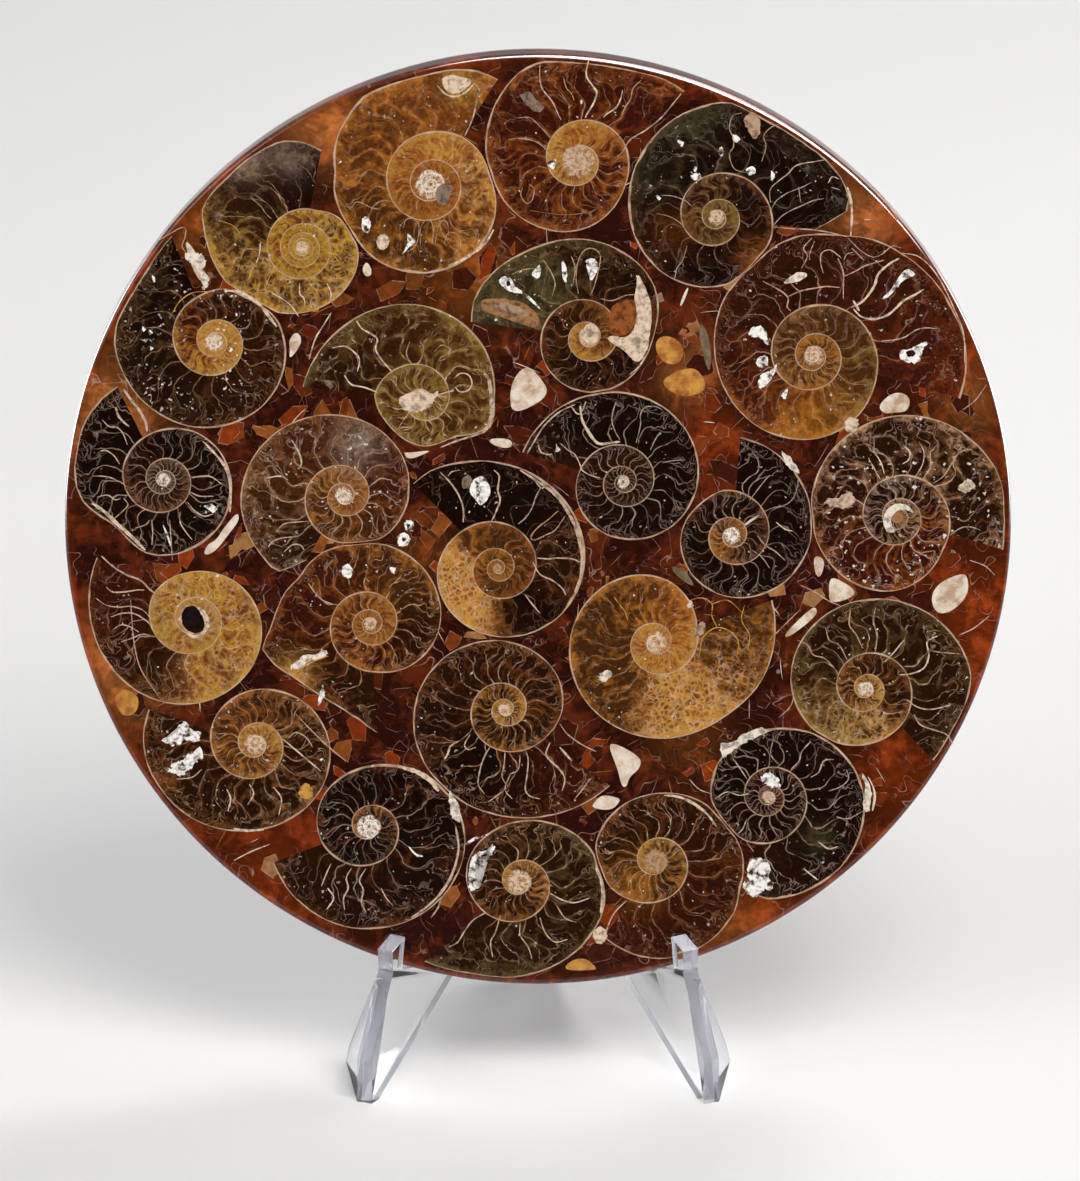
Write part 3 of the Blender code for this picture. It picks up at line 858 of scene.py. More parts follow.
@dataclass
class AmmoniteSlice:
    """One sliced ammonite, flush in the disc's face.

    u and v are its umbilicus on the face, growth is +1 where it widens anticlockwise, and septa
    counts them over a turn. whorl is how many times wider the shell gets in a turn, and core is
    the radius of the coil inside the last turn, or 0 where the last turn's own wall sets it.
    tones is read by Tone.chain, and a wall spot is a bearing, its spread and a thickness.
    """

    number: int
    u: float
    v: float
    growth: int
    whorl: float
    septa: float
    tones: str
    finish: CoilFinish
    slot: str
    spots: tuple[Spot, ...] = ()
    wall_spots: tuple[tuple[float, float, float], ...] = ()
    core: float = 0.0
    merge: float = 35.0
    gap: float = 0.3
    overlap: float = 0.35
    overlap_fade: float = 60.0
    turn_steps: int = 72
    across_steps: int = 9
    smallest: float = 0.6
    lift: float = 0.04
    depth: float = 2.6

    def build(self, maker: CoilTree) -> bpy.types.Object:
        """Make the piece.

        Args:
            maker: The tree that winds the strip.

        Returns:
            The ammonite.
        """
        strip = linked_object("strip", self._strip())
        name = f"ammonite_{self.number:02d}"
        mesh = maker.run(strip, {
            "Middle": (self.u, self.v, 0.0), "Depth": self.depth, "Weld": WELD / MM,
            "Material": self.finish.material(name),
        })
        return place_piece(f"{name}_face", mesh, [name], raised(self.lift))

    def _wall(self) -> tuple[np.ndarray, np.ndarray, float]:
        """Read the last turn's outer wall from the CAD inlay.

        Returns:
            Degrees grown back from the mouth, the radii there, and the mouth's bearing.
        """
        corners = front_loop(f"ammonite_{self.number:02d}") - (self.u, self.v)
        radii = np.hypot(corners[:, 0], corners[:, 1])
        jumps = np.roll(radii, -1) - radii
        mouth = int(np.argmax(np.abs(jumps)))
        if jumps[mouth] < 0:
            corners, radii = np.roll(corners, -mouth - 1, 0), np.roll(radii, -mouth - 1)
        else:
            corners, radii = np.roll(corners, -mouth - 1, 0)[::-1], np.roll(radii, -mouth - 1)[::-1]
        bearings = np.unwrap(np.arctan2(corners[:, 1], corners[:, 0]))
        back = np.degrees(bearings[-1] - bearings) * self.growth
        back, radii = back[::-1], radii[::-1] + self.gap
        fade = np.clip((back[-1] - back) / self.overlap_fade, 0, 1)
        return back, radii + self.overlap * fade, float(bearings[-1])

    def _strip(self) -> bpy.types.Mesh:
        """Make the flat strip that is wound.

        Returns:
            The strip, with one row for each step back from the mouth.
        """
        back, radii, mouth = self._wall()
        first_turn = back[-1]
        core = self.core or radii[-1]
        if self.core:
            radii = radii + (core - radii) * np.clip((back - first_turn) / self.merge + 1, 0, 1)
        turns = first_turn / TURN + math.log(core / self.smallest) / math.log(self.whorl)
        rows = int(turns * self.turn_steps)
        grown = np.arange(rows + 1) * TURN / self.turn_steps

        def outer_at(angle: np.ndarray) -> np.ndarray:
            """Radius of the outer wall, this many degrees back from the mouth."""
            inside = core * self.whorl ** (-(angle - first_turn) / TURN)
            outside = np.exp(np.interp(angle, back, np.log(radii)))
            return np.where(angle < first_turn, outside, inside)

        outer = outer_at(grown)
        inner = np.where(np.arange(rows + 1) + self.turn_steps <= rows,
                         outer_at(grown + TURN), 0.0)
        columns = self.across_steps + 1
        share = np.tile(np.linspace(0, 1, columns), rows + 1)
        angle = np.repeat(grown, columns)
        bearing = mouth - np.radians(angle) * self.growth
        outer_all, inner_all = np.repeat(outer, columns), np.repeat(inner, columns)
        reach = inner_all + (outer_all - inner_all) * share
        points = np.column_stack([angle, share * 10, np.zeros_like(share)])
        closing = share.copy()
        closing[-self.across_steps:] = 1.0
        quads = [
            (k * columns + j, k * columns + j + 1, (k + 1) * columns + j + 1, (k + 1) * columns + j)
            for k in range(rows) for j in range(self.across_steps)
        ]
        mesh = bpy.data.meshes.new("strip")
        mesh.from_pydata(points.tolist(), [], quads)
        for name, values in (("bearing", bearing), ("inner", inner_all), ("outer", outer_all),
                             ("share", closing)):
            store(mesh, name, values, "POINT")
        place = np.column_stack([reach * np.cos(bearing), reach * np.sin(bearing)])
        looks = {
            "septum": angle / TURN * self.septa,
            "across": share,
            "pitch": np.maximum(reach, 0.2) * 2 * math.pi / self.septa,
            "width": outer_all - inner_all,
            "reach": reach,
            **self._colours(angle / TURN, place, bearing),
        }
        corner_points = np.empty(len(mesh.loops), np.int32)
        mesh.loops.foreach_get("vertex_index", corner_points)
        for name, values in looks.items():
            store(mesh, name, values[corner_points], "CORNER")
        return mesh

    def _colours(self, turns: np.ndarray, place: np.ndarray,
                 bearing: np.ndarray) -> dict[str, np.ndarray]:
        """Work out the fillings' colours at each point of the strip.

        Args:
            turns: Turns back from the mouth.
            place: The points, as rows from the umbilicus.
            bearing: Their bearings, in radians.

        Returns:
            The colours and numbers that the finish reads, by name.
        """
        tones = Tone.chain(self.tones)
        at = [tone.turns for tone in tones]
        found = {}
        for name in ("dark", "light"):
            stops = np.array([getattr(tone, name).value for tone in tones])
            found[name] = np.column_stack(
                [np.exp(np.interp(turns, at, np.log(stops[:, i]))) for i in range(3)])
        for name in ("glow", "comb"):
            found[name] = np.interp(turns, at, [getattr(tone, name) for tone in tones])
        inner = np.interp(turns, [0.9, 1.1], [1.0, 0.5])
        found["net"], found["septa"] = 0.4 * inner, 0.8 * (0.6 + 0.4 * inner)
        found["light"] = found["light"] * (0.5 + 0.5 * inner)[:, None]
        found["crystal"] = np.zeros_like(turns)
        found["streak"] = np.interp(turns, [0.0, 0.8, 1.2], [0.5, 0.7, 2.1])
        found["wall"] = np.ones_like(turns)
        for spot in self.spots:
            away = np.hypot(*(place - (spot.u - self.u, spot.v - self.v)).T) / spot.size
            weight = np.exp(-(away**2))
            found["crystal"] += weight * spot.crystal
            found["comb"] += weight * spot.comb
            found["glow"] += weight * spot.glow
            if spot.hue:
                for name in ("dark", "light"):
                    hue = np.array(spot.hue.value) * (1.0 if name == "light" else 0.35)
                    found[name] += (hue - found[name]) * weight[:, None]
        for at_bearing, spread, thickness in self.wall_spots:
            turned = np.angle(np.exp(1j * (bearing - math.radians(at_bearing))))
            weight = np.exp(-((turned / math.radians(spread)) ** 2)) * (turns < 1.0)
            found["wall"] += weight * (thickness - 1.0)
        found["middle"] = np.sqrt(found["dark"] * found["light"])
        return found


def store(mesh: bpy.types.Mesh, name: str, values: np.ndarray, domain: str) -> None:
    """Store numbers or colours on a mesh.

    Args:
        mesh: The mesh.
        name: The attribute's name.
        values: One number, or one row of red, green and blue, for each element.
        domain: POINT, CORNER or FACE.
    """
    if values.ndim == 1:
        made = mesh.attributes.new(name, "FLOAT", domain)
        made.data.foreach_set("value", values.astype(np.float32))
        return
    made = mesh.attributes.new(name, "FLOAT_COLOR", domain)
    rows = np.column_stack([values, np.ones(len(values))]).astype(np.float32)
    made.data.foreach_set("color", rows.ravel())


AMMONITES = (
    AmmoniteSlice(
        1, -22.5, 72.5, -1, 2.15, 22,
        "0 chestnut amber .4 .3, .5 umber amber .45, .9 chestnut honey .6 .5, "
        "1.1 rust honey .75, 1.5 chestnut amber .6",
        CoilFinish(1.3, 3.1, Hue.BONE, contrast=1.3, lines=0.7, dot=0.35),
        "ammonite_amber", (Spot(-16.5, 93, 3.0, Hue.MUSTARD, glow=0.6),),
        ((-75, 25, 2.2), (130, 40, 1.6)),
    ),
    AmmoniteSlice(
        2, 8.5, 77.5, -1, 2.65, 20,
        "0 maroon rust .3, .6 maroon rust .45, .9 maroon rust .55, 1.1 rust honey .8, "
        "1.6 chestnut honey .7",
        CoilFinish(2.7, 3.5, Hue.SHELL, contrast=1.2, lines=0.7),
        "ammonite_brown",
    ),
    AmmoniteSlice(
        3, 37.5, 65.5, -1, 2.45, 14,
        "0 black moss .2, .35 black olive .35, .8 black umber .1, 1 black chestnut .25, "
        "1.3 soot bronze .4, 1.9 umber khaki .6",
        CoilFinish(3.1, 1.7, Hue.CREAM, septum_hue=Hue.SMOKE, fold_hue=Hue.ASH, lines=0.5),
        "ammonite_black",
        (Spot(22, 77, 7, Hue.MOSS, glow=0.6), Spot(32, 88, 7, Hue.MOSS, glow=0.5),
         Spot(46, 57, 4, Hue.RUST, glow=0.1), Spot(28, 62, 5, Hue.CHESTNUT, glow=0.1)),
        ((180, 60, 1.8),),
    ),
    AmmoniteSlice(
        4, 58, 36, -1, 2.3, 20,
        "0 wine carnelian .35, .35 soot maroon .5, .6 maroon rust .35, "
        ".8 chestnut amber .5, 1 umber khaki .4, 1.3 umber bronze .35, 2 umber amber .5",
        CoilFinish(4.9, 2.1, Hue.CREAM, fold_hue=Hue.PINK, lines=0.5),
        "ammonite_brown", (Spot(58, 20.5, 7, Hue.AMBER, glow=0.4),),
    ),
    AmmoniteSlice(
        5, -49.5, 59, -1, 1.6, 20,
        "0 black umber .3, .15 soot olive .4, .3 umber mustard .5 .45, "
        ".9 umber mustard .6 .5, 1.1 chestnut mustard .75, 3 chestnut mustard .7",
        CoilFinish(5.2, 1.5, Hue.CREAM, contrast=1.3, lines=0.8),
        "ammonite_amber",
        (Spot(-61, 77, 4, Hue.SMOKE, glow=0.5), Spot(-52, 78, 4, Hue.SMOKE, glow=0.3)), core=8.6,
    ),
    AmmoniteSlice(
        6, -68, 39, -1, 2.3, 18,
        "0 black olive .3, .5 soot umber .4, .95 soot chestnut .4, 1.1 maroon amber .45, "
        "1.4 chestnut honey .8, 2 amber honey .9",
        CoilFinish(6.4, 2.0, Hue.BONE, contrast=1.2, lines=0.7, flecks=1.5),
        "ammonite_brown",
    ),
    AmmoniteSlice(
        7, -79, 9.5, -1, 2.3, 20,
        "0 black umber .15, 1 black umber .2, 1.3 soot chestnut .4, 2.2 soot olive .5",
        CoilFinish(7.7, 1.5, Hue.BONE, fold_hue=Hue.ASH, shell=0.45, dot=0.3, lines=0.8),
        "ammonite_black", (), ((0, 50, 1.8),),
    ),
    AmmoniteSlice(
        8, -41, 6, 1, 2.4, 18,
        "0 soot smoke .3, .2 umber bronze .35, .5 maroon chestnut .3, .9 umber rust .4, "
        "1.1 umber amber .4, 1.5 chestnut amber .45",
        CoilFinish(8.1, 1.9, Hue.BONE, fold_hue=Hue.ASH, contrast=1.2, flecks=1.0),
        "ammonite_brown", (Spot(-38, 17, 5.5, Hue.SMOKE, glow=0.7, crystal=0.42),),
    ),
    AmmoniteSlice(
        9, -24.5, 26.5, 1, 3.2, 16,
        "0 soot olive .4, .3 umber khaki .55, 1 umber khaki .6, 2 olive mustard .5",
        CoilFinish(9.4, 2.3, Hue.CREAM, septum=0.2, septum_hue=Hue.CREAM),
        "ammonite_olive", (), ((0, 45, 2.0),),
    ),
    AmmoniteSlice(
        10, 10.5, 40, 1, 2.45, 16,
        "0 moss olive .5, .2 soot olive .4, .4 black umber .3, 1 soot chestnut .3, "
        "1.8 chestnut honey .7",
        CoilFinish(10.6, 2.0, Hue.CREAM, lines=0.5),
        "ammonite_black",
        (Spot(-8, 46, 5, Hue.OLIVE, glow=0.4), Spot(2, 52, 4, Hue.OLIVE, glow=0.3),
         Spot(20, 44, 4, Hue.RUST, glow=0.4)),
    ),
    AmmoniteSlice(
        11, 18, 9, 1, 2.34, 18,
        "0 soot umber .2, .1 black soot .1, .45 black soot .1, .7 black umber .25, "
        "1.1 soot umber .2, 2.4 black chestnut .2",
        CoilFinish(11.2, 1.4, Hue.BONE, fold_hue=Hue.ASH, lines=0.8, dot=0.3),
        "ammonite_black",
    ),
    AmmoniteSlice(
        12, -8.5, -9.5, 1, 2.34, 16,
        "0 black soot .1, .22 black soot .1, .3 soot bronze .35, .42 soot rust .3, "
        ".5 black umber .1, .6 soot rust .3, .68 chestnut honey .8 1, "
        ".92 chestnut honey .8 1, 1 umber amber .4, 1.4 umber rust .4, 1.9 umber amber .5",
        CoilFinish(12.8, 1.0, Hue.TAN, lines=0.4),
        "ammonite_brown", (), ((20, 70, 1.8),),
    ),
    AmmoniteSlice(
        13, 41, -2.5, 1, 2.5, 18,
        "0 black soot .1, .5 black umber .2, 1.1 black chestnut .2, 1.6 umber amber .45",
        CoilFinish(13.5, 1.8, Hue.WHITE, fold_hue=Hue.ASH, lines=0.7),
        "ammonite_black",
    ),
    AmmoniteSlice(
        14, 76, 1.5, -1, 2.25, 18,
        "0 soot bronze .35, .4 soot tan .35, .7 maroon rust .35, 1 maroon amber .4, "
        "1.3 black smoke .3, 2 soot bronze .4",
        CoilFinish(14.2, 1.4, Hue.BRONZE, fold_hue=Hue.PINK, flecks=1.6, contrast=1.4),
        "ammonite_brown", (Spot(84, 12, 5, crystal=0.2), Spot(72, 17, 5, crystal=0.2)),
    ),
    AmmoniteSlice(
        15, -73, -20.5, -1, 2.4, 18,
        "0 maroon chestnut .1, .22 soot chestnut .15, .34 chestnut mustard .6 .5, "
        ".9 chestnut mustard .8 .5, 2 chestnut honey .8 .4",
        CoilFinish(15.9, 3.1, Hue.CREAM, fold_hue=Hue.PINK, lines=0.7),
        "ammonite_amber",
    ),
    AmmoniteSlice(
        16, -35.5, -21.5, 1, 2.25, 20,
        "0 soot chestnut .3, .3 maroon rust .3, .6 umber amber .35, .8 soot chestnut .3, "
        "1 maroon amber .5 .3, 2 chestnut amber .6",
        CoilFinish(16.3, 1.5, Hue.CREAM, contrast=1.3),
        "ammonite_brown", (Spot(-52, -32, 4, Hue.HONEY, glow=0.5, comb=0.6),),
    ),
    AmmoniteSlice(
        17, -7, -40, 1, 2.55, 22,
        "0 maroon chestnut .3, .2 black umber .2, .45 soot chestnut .35, "
        ".9 soot chestnut .35, 1.05 soot amber .3, 1.4 soot amber .35, 2 umber honey .5",
        CoilFinish(17.1, 1.5, Hue.CREAM, contrast=1.2),
        "ammonite_brown",
    ),
    AmmoniteSlice(
        18, 25, -25.5, 1, 2.75, 20,
        "0 umber amber .4 .2, .1 umber amber .45 .5, .2 chestnut honey .6 .8, "
        ".3 chestnut honey .6 .8, .38 umber amber .35 .2, .7 umber amber .4, "
        ".9 chestnut amber .6, 1.1 rust honey .7 .35, 2 rust honey .8",
        CoilFinish(18.8, 2.3, Hue.CREAM, contrast=1.4, lines=0.6),
        "ammonite_amber",
    ),
    AmmoniteSlice(
        19, 69.5, -35.5, -1, 2.5, 18,
        "0 soot olive .3, .55 soot olive .35, .68 umber khaki .5 .5, "
        ".95 umber honey .5 .6, 1.1 soot chestnut .3, 2 umber honey .5",
        CoilFinish(19.4, 1.7, Hue.BONE, septum_hue=Hue.CREAM, lines=0.9),
        "ammonite_olive",
    ),
    AmmoniteSlice(
        20, -60, -47.5, -1, 2.6, 20,
        "0 soot chestnut .35, .5 soot bronze .4, .9 umber rust .45, 1.1 umber amber .45, "
        "1.6 chestnut honey .6",
        CoilFinish(20.2, 2.3, Hue.CREAM, contrast=1.3, flecks=0.8),
        "ammonite_brown",
    ),
    AmmoniteSlice(
        21, -36, -65.5, -1, 3.2, 18,
        "0 soot chestnut .3, .5 black chestnut .2, .9 black chestnut .2, "
        "1.1 black umber .2, 1.5 soot amber .3",
        CoilFinish(21.6, 2.6, Hue.WHITE, fold_hue=Hue.ASH, flecks=0.8, dot=0.3, lines=0.65),
        "ammonite_brown", (), ((60, 40, 2.2),),
    ),
    AmmoniteSlice(
        22, -4, -77.5, -1, 3.2, 18,
        "0 soot olive .4, .5 soot olive .4, .9 soot chestnut .35, 1.05 soot rust .3, "
        "1.5 umber honey .45",
        CoilFinish(22.9, 2.7, Hue.CREAM, contrast=1.2),
        "ammonite_brown", (), ((0, 45, 1.8),),
    ),
    AmmoniteSlice(
        23, 25, -73, -1, 3.1, 20,
        "0 maroon chestnut .25, .6 soot chestnut .3, .9 soot rust .35, 1.05 soot rust .3, "
        "1.45 umber mustard .5",
        CoilFinish(23.3, 2.6, Hue.TAN, contrast=1.2, flecks=0.8),
        "ammonite_brown", (Spot(20, -78, 5, Hue.AMBER, glow=0.3),),
    ),
    AmmoniteSlice(
        24, 49, -59, -1, 2.45, 18,
        "0 soot olive .25, .2 black soot .15, 1 black umber .2, 2 black chestnut .3",
        CoilFinish(24.5, 1.5, Hue.CREAM, fold_hue=Hue.ASH, shell=0.55),
        "ammonite_black", (Spot(60, -68, 3, Hue.OLIVE, glow=0.4),), ((120, 80, 1.5),),
    ),
)


# Resin plate and the pieces between the ammonites


@dataclass(frozen=True)
class Stain:
    """A soft patch of colour in the resin, in millimetres on the disc's face."""

    u: float
    v: float
    size: float
    hue: Hue
    strength: float = 1.0


class ResinFinish(Finish):
    """Dark red resin, cloudy with amber dust and wisps of shell."""

    roughness = 0.12
    ior = 1.52

    def looks(self, tree: Tree) -> dict[str, Socket]:
        """A stained ground with a cloudy bloom on it, and thin pale wisps."""
        at = PLACE.coordinates(tree)
        bent = tree.moved(at, tree.noise_colour(at, 0.09, 2.0), 7.0)
        veil = tree.noise(bent, 0.1, 2.0, 0.5)
        mottle = tree.noise(bent, 0.5, 3.0, 0.6)
        lit = (veil + (mottle - 0.5) * 0.4).rise(0.42, 0.7)
        fill = tree.mix(lit, tree.scaled(tree.colour("stain"), 0.55), tree.colour("bloom"))
        fill = tree.scaled(fill, 0.4 + mottle * 0.9)
        wisp = abs(tree.noise(bent, 0.16, 1.0) - 0.5).fall(0.001, 0.007)
        thread = abs(tree.noise(bent, 0.3, 1.0) - 0.48).fall(0.001, 0.012)
        patchy = tree.noise(at, 0.11, 2.0).rise(0.45, 0.62)
        thin = tree.noise(at, 0.17, 2.0).rise(0.48, 0.64)
        lines = (wisp * patchy * 0.4).most(thread * thin * 0.2)
        return {"Base Color": tree.mix(lines.clamped(), fill, Hue.PINK.value)}


@dataclass
class ResinPlate:
    """The round plate that holds everything, with a fine rounding round its rim.

    Lengths are in millimetres. rim is where the rim's amber tint starts and how wide it fades in.
    A bloom is brighter than the stain under it by a gain and some of the rim's hue.
    """

    name: str = "resin_plate"
    segments: int = 256
    rounding_steps: int = 6
    ring_step: float = 2.0
    last_gap: float = 0.5
    guard_gap: float = 0.02
    side_heights: tuple[float, ...] = (3.0, 5.0, 7.0)
    base: Hue = Hue.WINE
    rim_hue: Hue = Hue.CARNELIAN
    rim: tuple[float, float] = (97.5, 2.0)
    rim_strength: float = 0.6
    bloom_gain: float = 1.15
    bloom_hue: float = 0.22
    stains: tuple[Stain, ...] = (
        Stain(94, -20, 14, Hue.CARNELIAN), Stain(76, -54, 9, Hue.CARNELIAN),
        Stain(48, -86, 10, Hue.CARNELIAN), Stain(-56, -76, 12, Hue.CARNELIAN),
        Stain(88, 40, 12, Hue.CARNELIAN), Stain(38, 18, 6, Hue.CARNELIAN),
        Stain(-72, 67, 10, Hue.RUST), Stain(-24, -5, 6, Hue.CHESTNUT),
        Stain(32, -46, 8, Hue.CHESTNUT), Stain(-14, 53, 9, Hue.RUST),
        Stain(42, -88, 8, Hue.RUST), Stain(-93, 24, 11, Hue.PEACH, 0.8),
        Stain(-92, -34, 10, Hue.PEACH, 0.75), Stain(68, 68, 8, Hue.PEACH, 0.7),
        Stain(31, 32, 6, Hue.PEACH, 0.6), Stain(93, 27, 7, Hue.PEACH, 0.5),
        Stain(-46, 86, 9, Hue.PEACH, 0.8),
    )

    def build(self) -> bpy.types.Object:
        """Make the plate."""
        rings = self._profile()
        body = bmesh.new()
        loops = []
        for radius, z in rings:
            loops.append([
                body.verts.new((radius * math.cos(a), radius * math.sin(a), z))
                for a in np.linspace(0, 2 * math.pi, self.segments, endpoint=False)
            ])
        for above, below in zip(loops, loops[1:]):
            for i in range(self.segments):
                j = (i + 1) % self.segments
                body.faces.new((above[i], below[i], below[j], above[j]))
        for loop, z in ((loops[0], rings[0][1]), (loops[-1], rings[-1][1])):
            middle = body.verts.new((0, 0, z))
            for i in range(self.segments):
                body.faces.new((loop[i], loop[(i + 1) % self.segments], middle))
        mesh = new_mesh(self.name, body, ResinFinish().material("resin"))
        self._stain(mesh)
        mesh.shade_smooth()
        return place_piece(self.name, mesh, ["matrix_slab"], PLACE.matrix)

    def _profile(self) -> list[tuple[float, float]]:
        """Work out the plate's rings.

        Returns:
            Radius and height of each, from the front's middle to the back's.
        """
        flat = PLACE.radius - PLACE.rounding
        inner = list(np.arange(self.ring_step, flat - self.last_gap, self.ring_step))
        front = [(r, 0.0) for r in [*inner, flat - self.guard_gap]]
        for i in range(self.rounding_steps + 1):
            angle = math.radians(90) * i / self.rounding_steps
            front.append((flat + PLACE.rounding * math.sin(angle),
                          -PLACE.rounding * (1 - math.cos(angle))))
        back = [(r, -PLACE.thickness - z) for r, z in reversed(front)]
        middle = [(PLACE.radius, -z) for z in self.side_heights]
        return front + middle + back

    def _stain(self, mesh: bpy.types.Mesh) -> None:
        """Store the resin's colour at each point.

        Args:
            mesh: The plate.
        """
        points = np.empty(len(mesh.vertices) * 3, np.float32)
        mesh.vertices.foreach_get("co", points)
        points = points.reshape(-1, 3)
        colour = np.tile(np.array(self.base.value), (len(points), 1))
        for stain in self.stains:
            away = np.hypot(points[:, 0] - stain.u, points[:, 1] - stain.v) / stain.size
            weight = np.exp(-(away**2))[:, None] * stain.strength
            colour += (np.array(stain.hue.value) - colour) * weight
        start, width = self.rim
        reach = np.hypot(points[:, 0], points[:, 1])
        edge = np.clip((reach - start) / width, 0, 1)[:, None] * self.rim_strength
        rim_hue = np.array(self.rim_hue.value)
        colour += (rim_hue - colour) * edge
        store(mesh, "stain", colour, "POINT")
        store(mesh, "bloom", colour * self.bloom_gain + rim_hue * self.bloom_hue, "POINT")


@dataclass(frozen=True)
class ChipFinish(Finish):
    """Broken shell or amber calcite, mottled and finely grained."""

    pale: Hue
    deep: Hue
    ior = 1.55

    def looks(self, tree: Tree) -> dict[str, Socket]:
        """A cloudy mix of the two hues, with a fine grain."""
        at = PLACE.coordinates(tree)
        cloud = tree.noise(tree.moved(at, tree.noise_colour(at, 0.4), 2.0), 0.35, 4.0, 0.6)
        grain = tree.noise(at, 2.4, 3.0, 0.7)
        fill = tree.mix(cloud.rise(0.3, 0.68), self.deep.value, self.pale.value)
        return {"Base Color": tree.scaled(fill, 0.72 + grain * 0.5),
                "Roughness": (0.12 + grain * 0.2).clamped(),
                "Normal": self.bump(tree, grain, 0.00002)}


@dataclass
class Chips:
    """The shell chips and pebbles, each with softened corners."""

    lift: float = 0.03
    depth: float = 2.6
    grow: float = 0.35
    cuts: int = 3
    kinds: tuple[tuple[tuple[str, ...], str, ChipFinish, str], ...] = (
        (("chip_white_wedge", "chip_white_kite", "bar_white", "chip_porous", "chip_white_amber",
          "chip_white_long", "chip_white_leaf", "chip_white_small", "splinter_white",
          "chip_box", "chip_shell_small"),
         "shell_white", ChipFinish(Hue.BONE, Hue.TAN), "shell_chip"),
        (("chip_pink_upper", "chip_pink_lower", "shell_crescent", "shell_wedge", "shell_strip"),
         "shell_pink", ChipFinish(Hue.BONE, Hue.SHELL), "shell_chip"),
        (("shard_olive", "shard_grey"),
         "shard", ChipFinish(Hue.SMOKE, Hue.OLIVE), "shell_chip"),
        (("pebble_amber_upper", "pebble_amber_lower", "pebble_orange", "pebble_amber_bottom"),
         "pebble", ChipFinish(Hue.HONEY, Hue.RUST), "amber_pebble"),
    )

    def build(self) -> list[bpy.types.Object]:
        """Make every chip."""
        made = []
        for nodes, name, finish, slot in self.kinds:
            material = finish.material(name)
            for node in nodes:
                body = bmesh.new()
                add_flat(body, self._outline(front_loop(node)), 0.0, self.depth)
                mesh = new_mesh(node, body, material)
                made.append(place_piece(f"{node}_face", mesh, [node], raised(self.lift)))
        return made

    def _outline(self, corners: np.ndarray) -> np.ndarray:
        """Round the corners by cutting them, and grow the outline a little.

        Args:
            corners: The outline's corners in order.

        Returns:
            The rounded outline.
        """
        middle = corners.mean(0)
        away = corners - middle
        reach = np.hypot(*away.T)[:, None]
        points = middle + away * (1 + self.grow / reach)
        for _ in range(self.cuts):
            following = np.roll(points, -1, 0)
            points = np.stack([points * 0.75 + following * 0.25,
                               points * 0.25 + following * 0.75], 1).reshape(-1, 2)
        return points


class ShardFinish(Finish):
    """Shards of shell and calcite, each of its own colour, with a pale skin round it."""

    roughness = 0.13
    ior = 1.54

    def looks(self, tree: Tree) -> dict[str, Socket]:
        """A cloudy shard in its own tint, and its skin."""
        at = PLACE.coordinates(tree)
        tint = tree.number("tint")
        hues = (Hue.WINE, Hue.MAROON, Hue.CARNELIAN, Hue.CHESTNUT, Hue.RUST, Hue.BRONZE, Hue.AMBER,
                Hue.SMOKE, Hue.SHELL, Hue.BONE)
        places = (0.0, 0.2, 0.38, 0.55, 0.68, 0.76, 0.84, 0.90, 0.95, 1.0)
        stops = [(place, hue.value) for place, hue in zip(places, hues)]
        fill = tree.node("ShaderNodeValToRGB", {"stops": stops}, {0: tint}, "Color")
        cloud = tree.noise(tree.moved(at, tree.noise_colour(at, 0.5), 1.5), 0.5, 3.0, 0.6)
        fill = tree.scaled(fill, 0.1 + cloud * 1.6)
        skin = (1.0 - tree.number("rim")) * tree.number("size") * 0.5
        uneven = tree.noise(at, 0.6, 1.0)
        edge = skin.fall(uneven * 0.1, uneven * 0.1 + 0.14) * uneven.rise(0.35, 0.6)
        return {"Base Color": tree.mix(edge * 0.45, fill, Hue.PINK.value)}


class Scatter(ShapeTree):
    """Sets one small solid on each point and bends it."""

    name = "set_shards"
    kinds = {"Thickness": "Float", "Bend": "Float", "Bend Scale": "Float"}

    def shape(self, tree: Tree, given: dict[str, Socket]) -> Socket:
        """Add the nodes: copies of the solid, each turned and stretched, and then all bent."""
        size, stretch, turn = map(tree.attribute, ("size", "stretch", "turn"))
        scale = tree.vector(size * stretch, size / stretch, given["Thickness"])
        copies = tree.node("GeometryNodeInstanceOnPoints", values={
            "Points": given["Geometry"], "Instance": self.solid(tree), "Scale": scale,
            "Rotation": tree.vector(0.0, 0.0, turn)})
        real = tree.node("GeometryNodeRealizeInstances", values={"Geometry": copies})
        flat = tree.vector_math("MULTIPLY", tree.node("GeometryNodeInputPosition"), FLAT)
        push = tree.noise_colour(flat, given["Bend Scale"], 1.0)
        push = tree.vector_math("MULTIPLY", tree.vector_math("SUBTRACT", push, HALF), FLAT)
        values = {"Geometry": real, "Offset": tree.scaled(push, given["Bend"])}
        return tree.node("GeometryNodeSetPosition", values=values)

    def solid(self, tree: Tree) -> Socket:
        """A five-sided plate of unit radius that knows how near its rim a point is."""
        values = {"Vertices": 5, "Side Segments": 1, "Fill Segments": 2, "Radius": 1.0,
                  "Depth": 1.0}
        plate = tree.node("GeometryNodeMeshCylinder", {"fill_type": "TRIANGLE_FAN"}, values,
                          "Mesh")
        flat = tree.vector_math("MULTIPLY", tree.node("GeometryNodeInputPosition"), FLAT)
        reach = tree.vector_math("LENGTH", flat, output="Value")
        return self.with_rim(tree, plate, reach * 2.0 - 1.0)

    @staticmethod
    def with_rim(tree: Tree, shape: Socket, rim: Socket | float) -> Socket:
        """Store on a shape how near its rim each point is."""
        kind, settings = "GeometryNodeStoreNamedAttribute", {"data_type": "FLOAT",
                                                             "domain": "POINT"}
        return tree.node(kind, settings, {"Geometry": shape, "Name": "rim", "Value": rim})


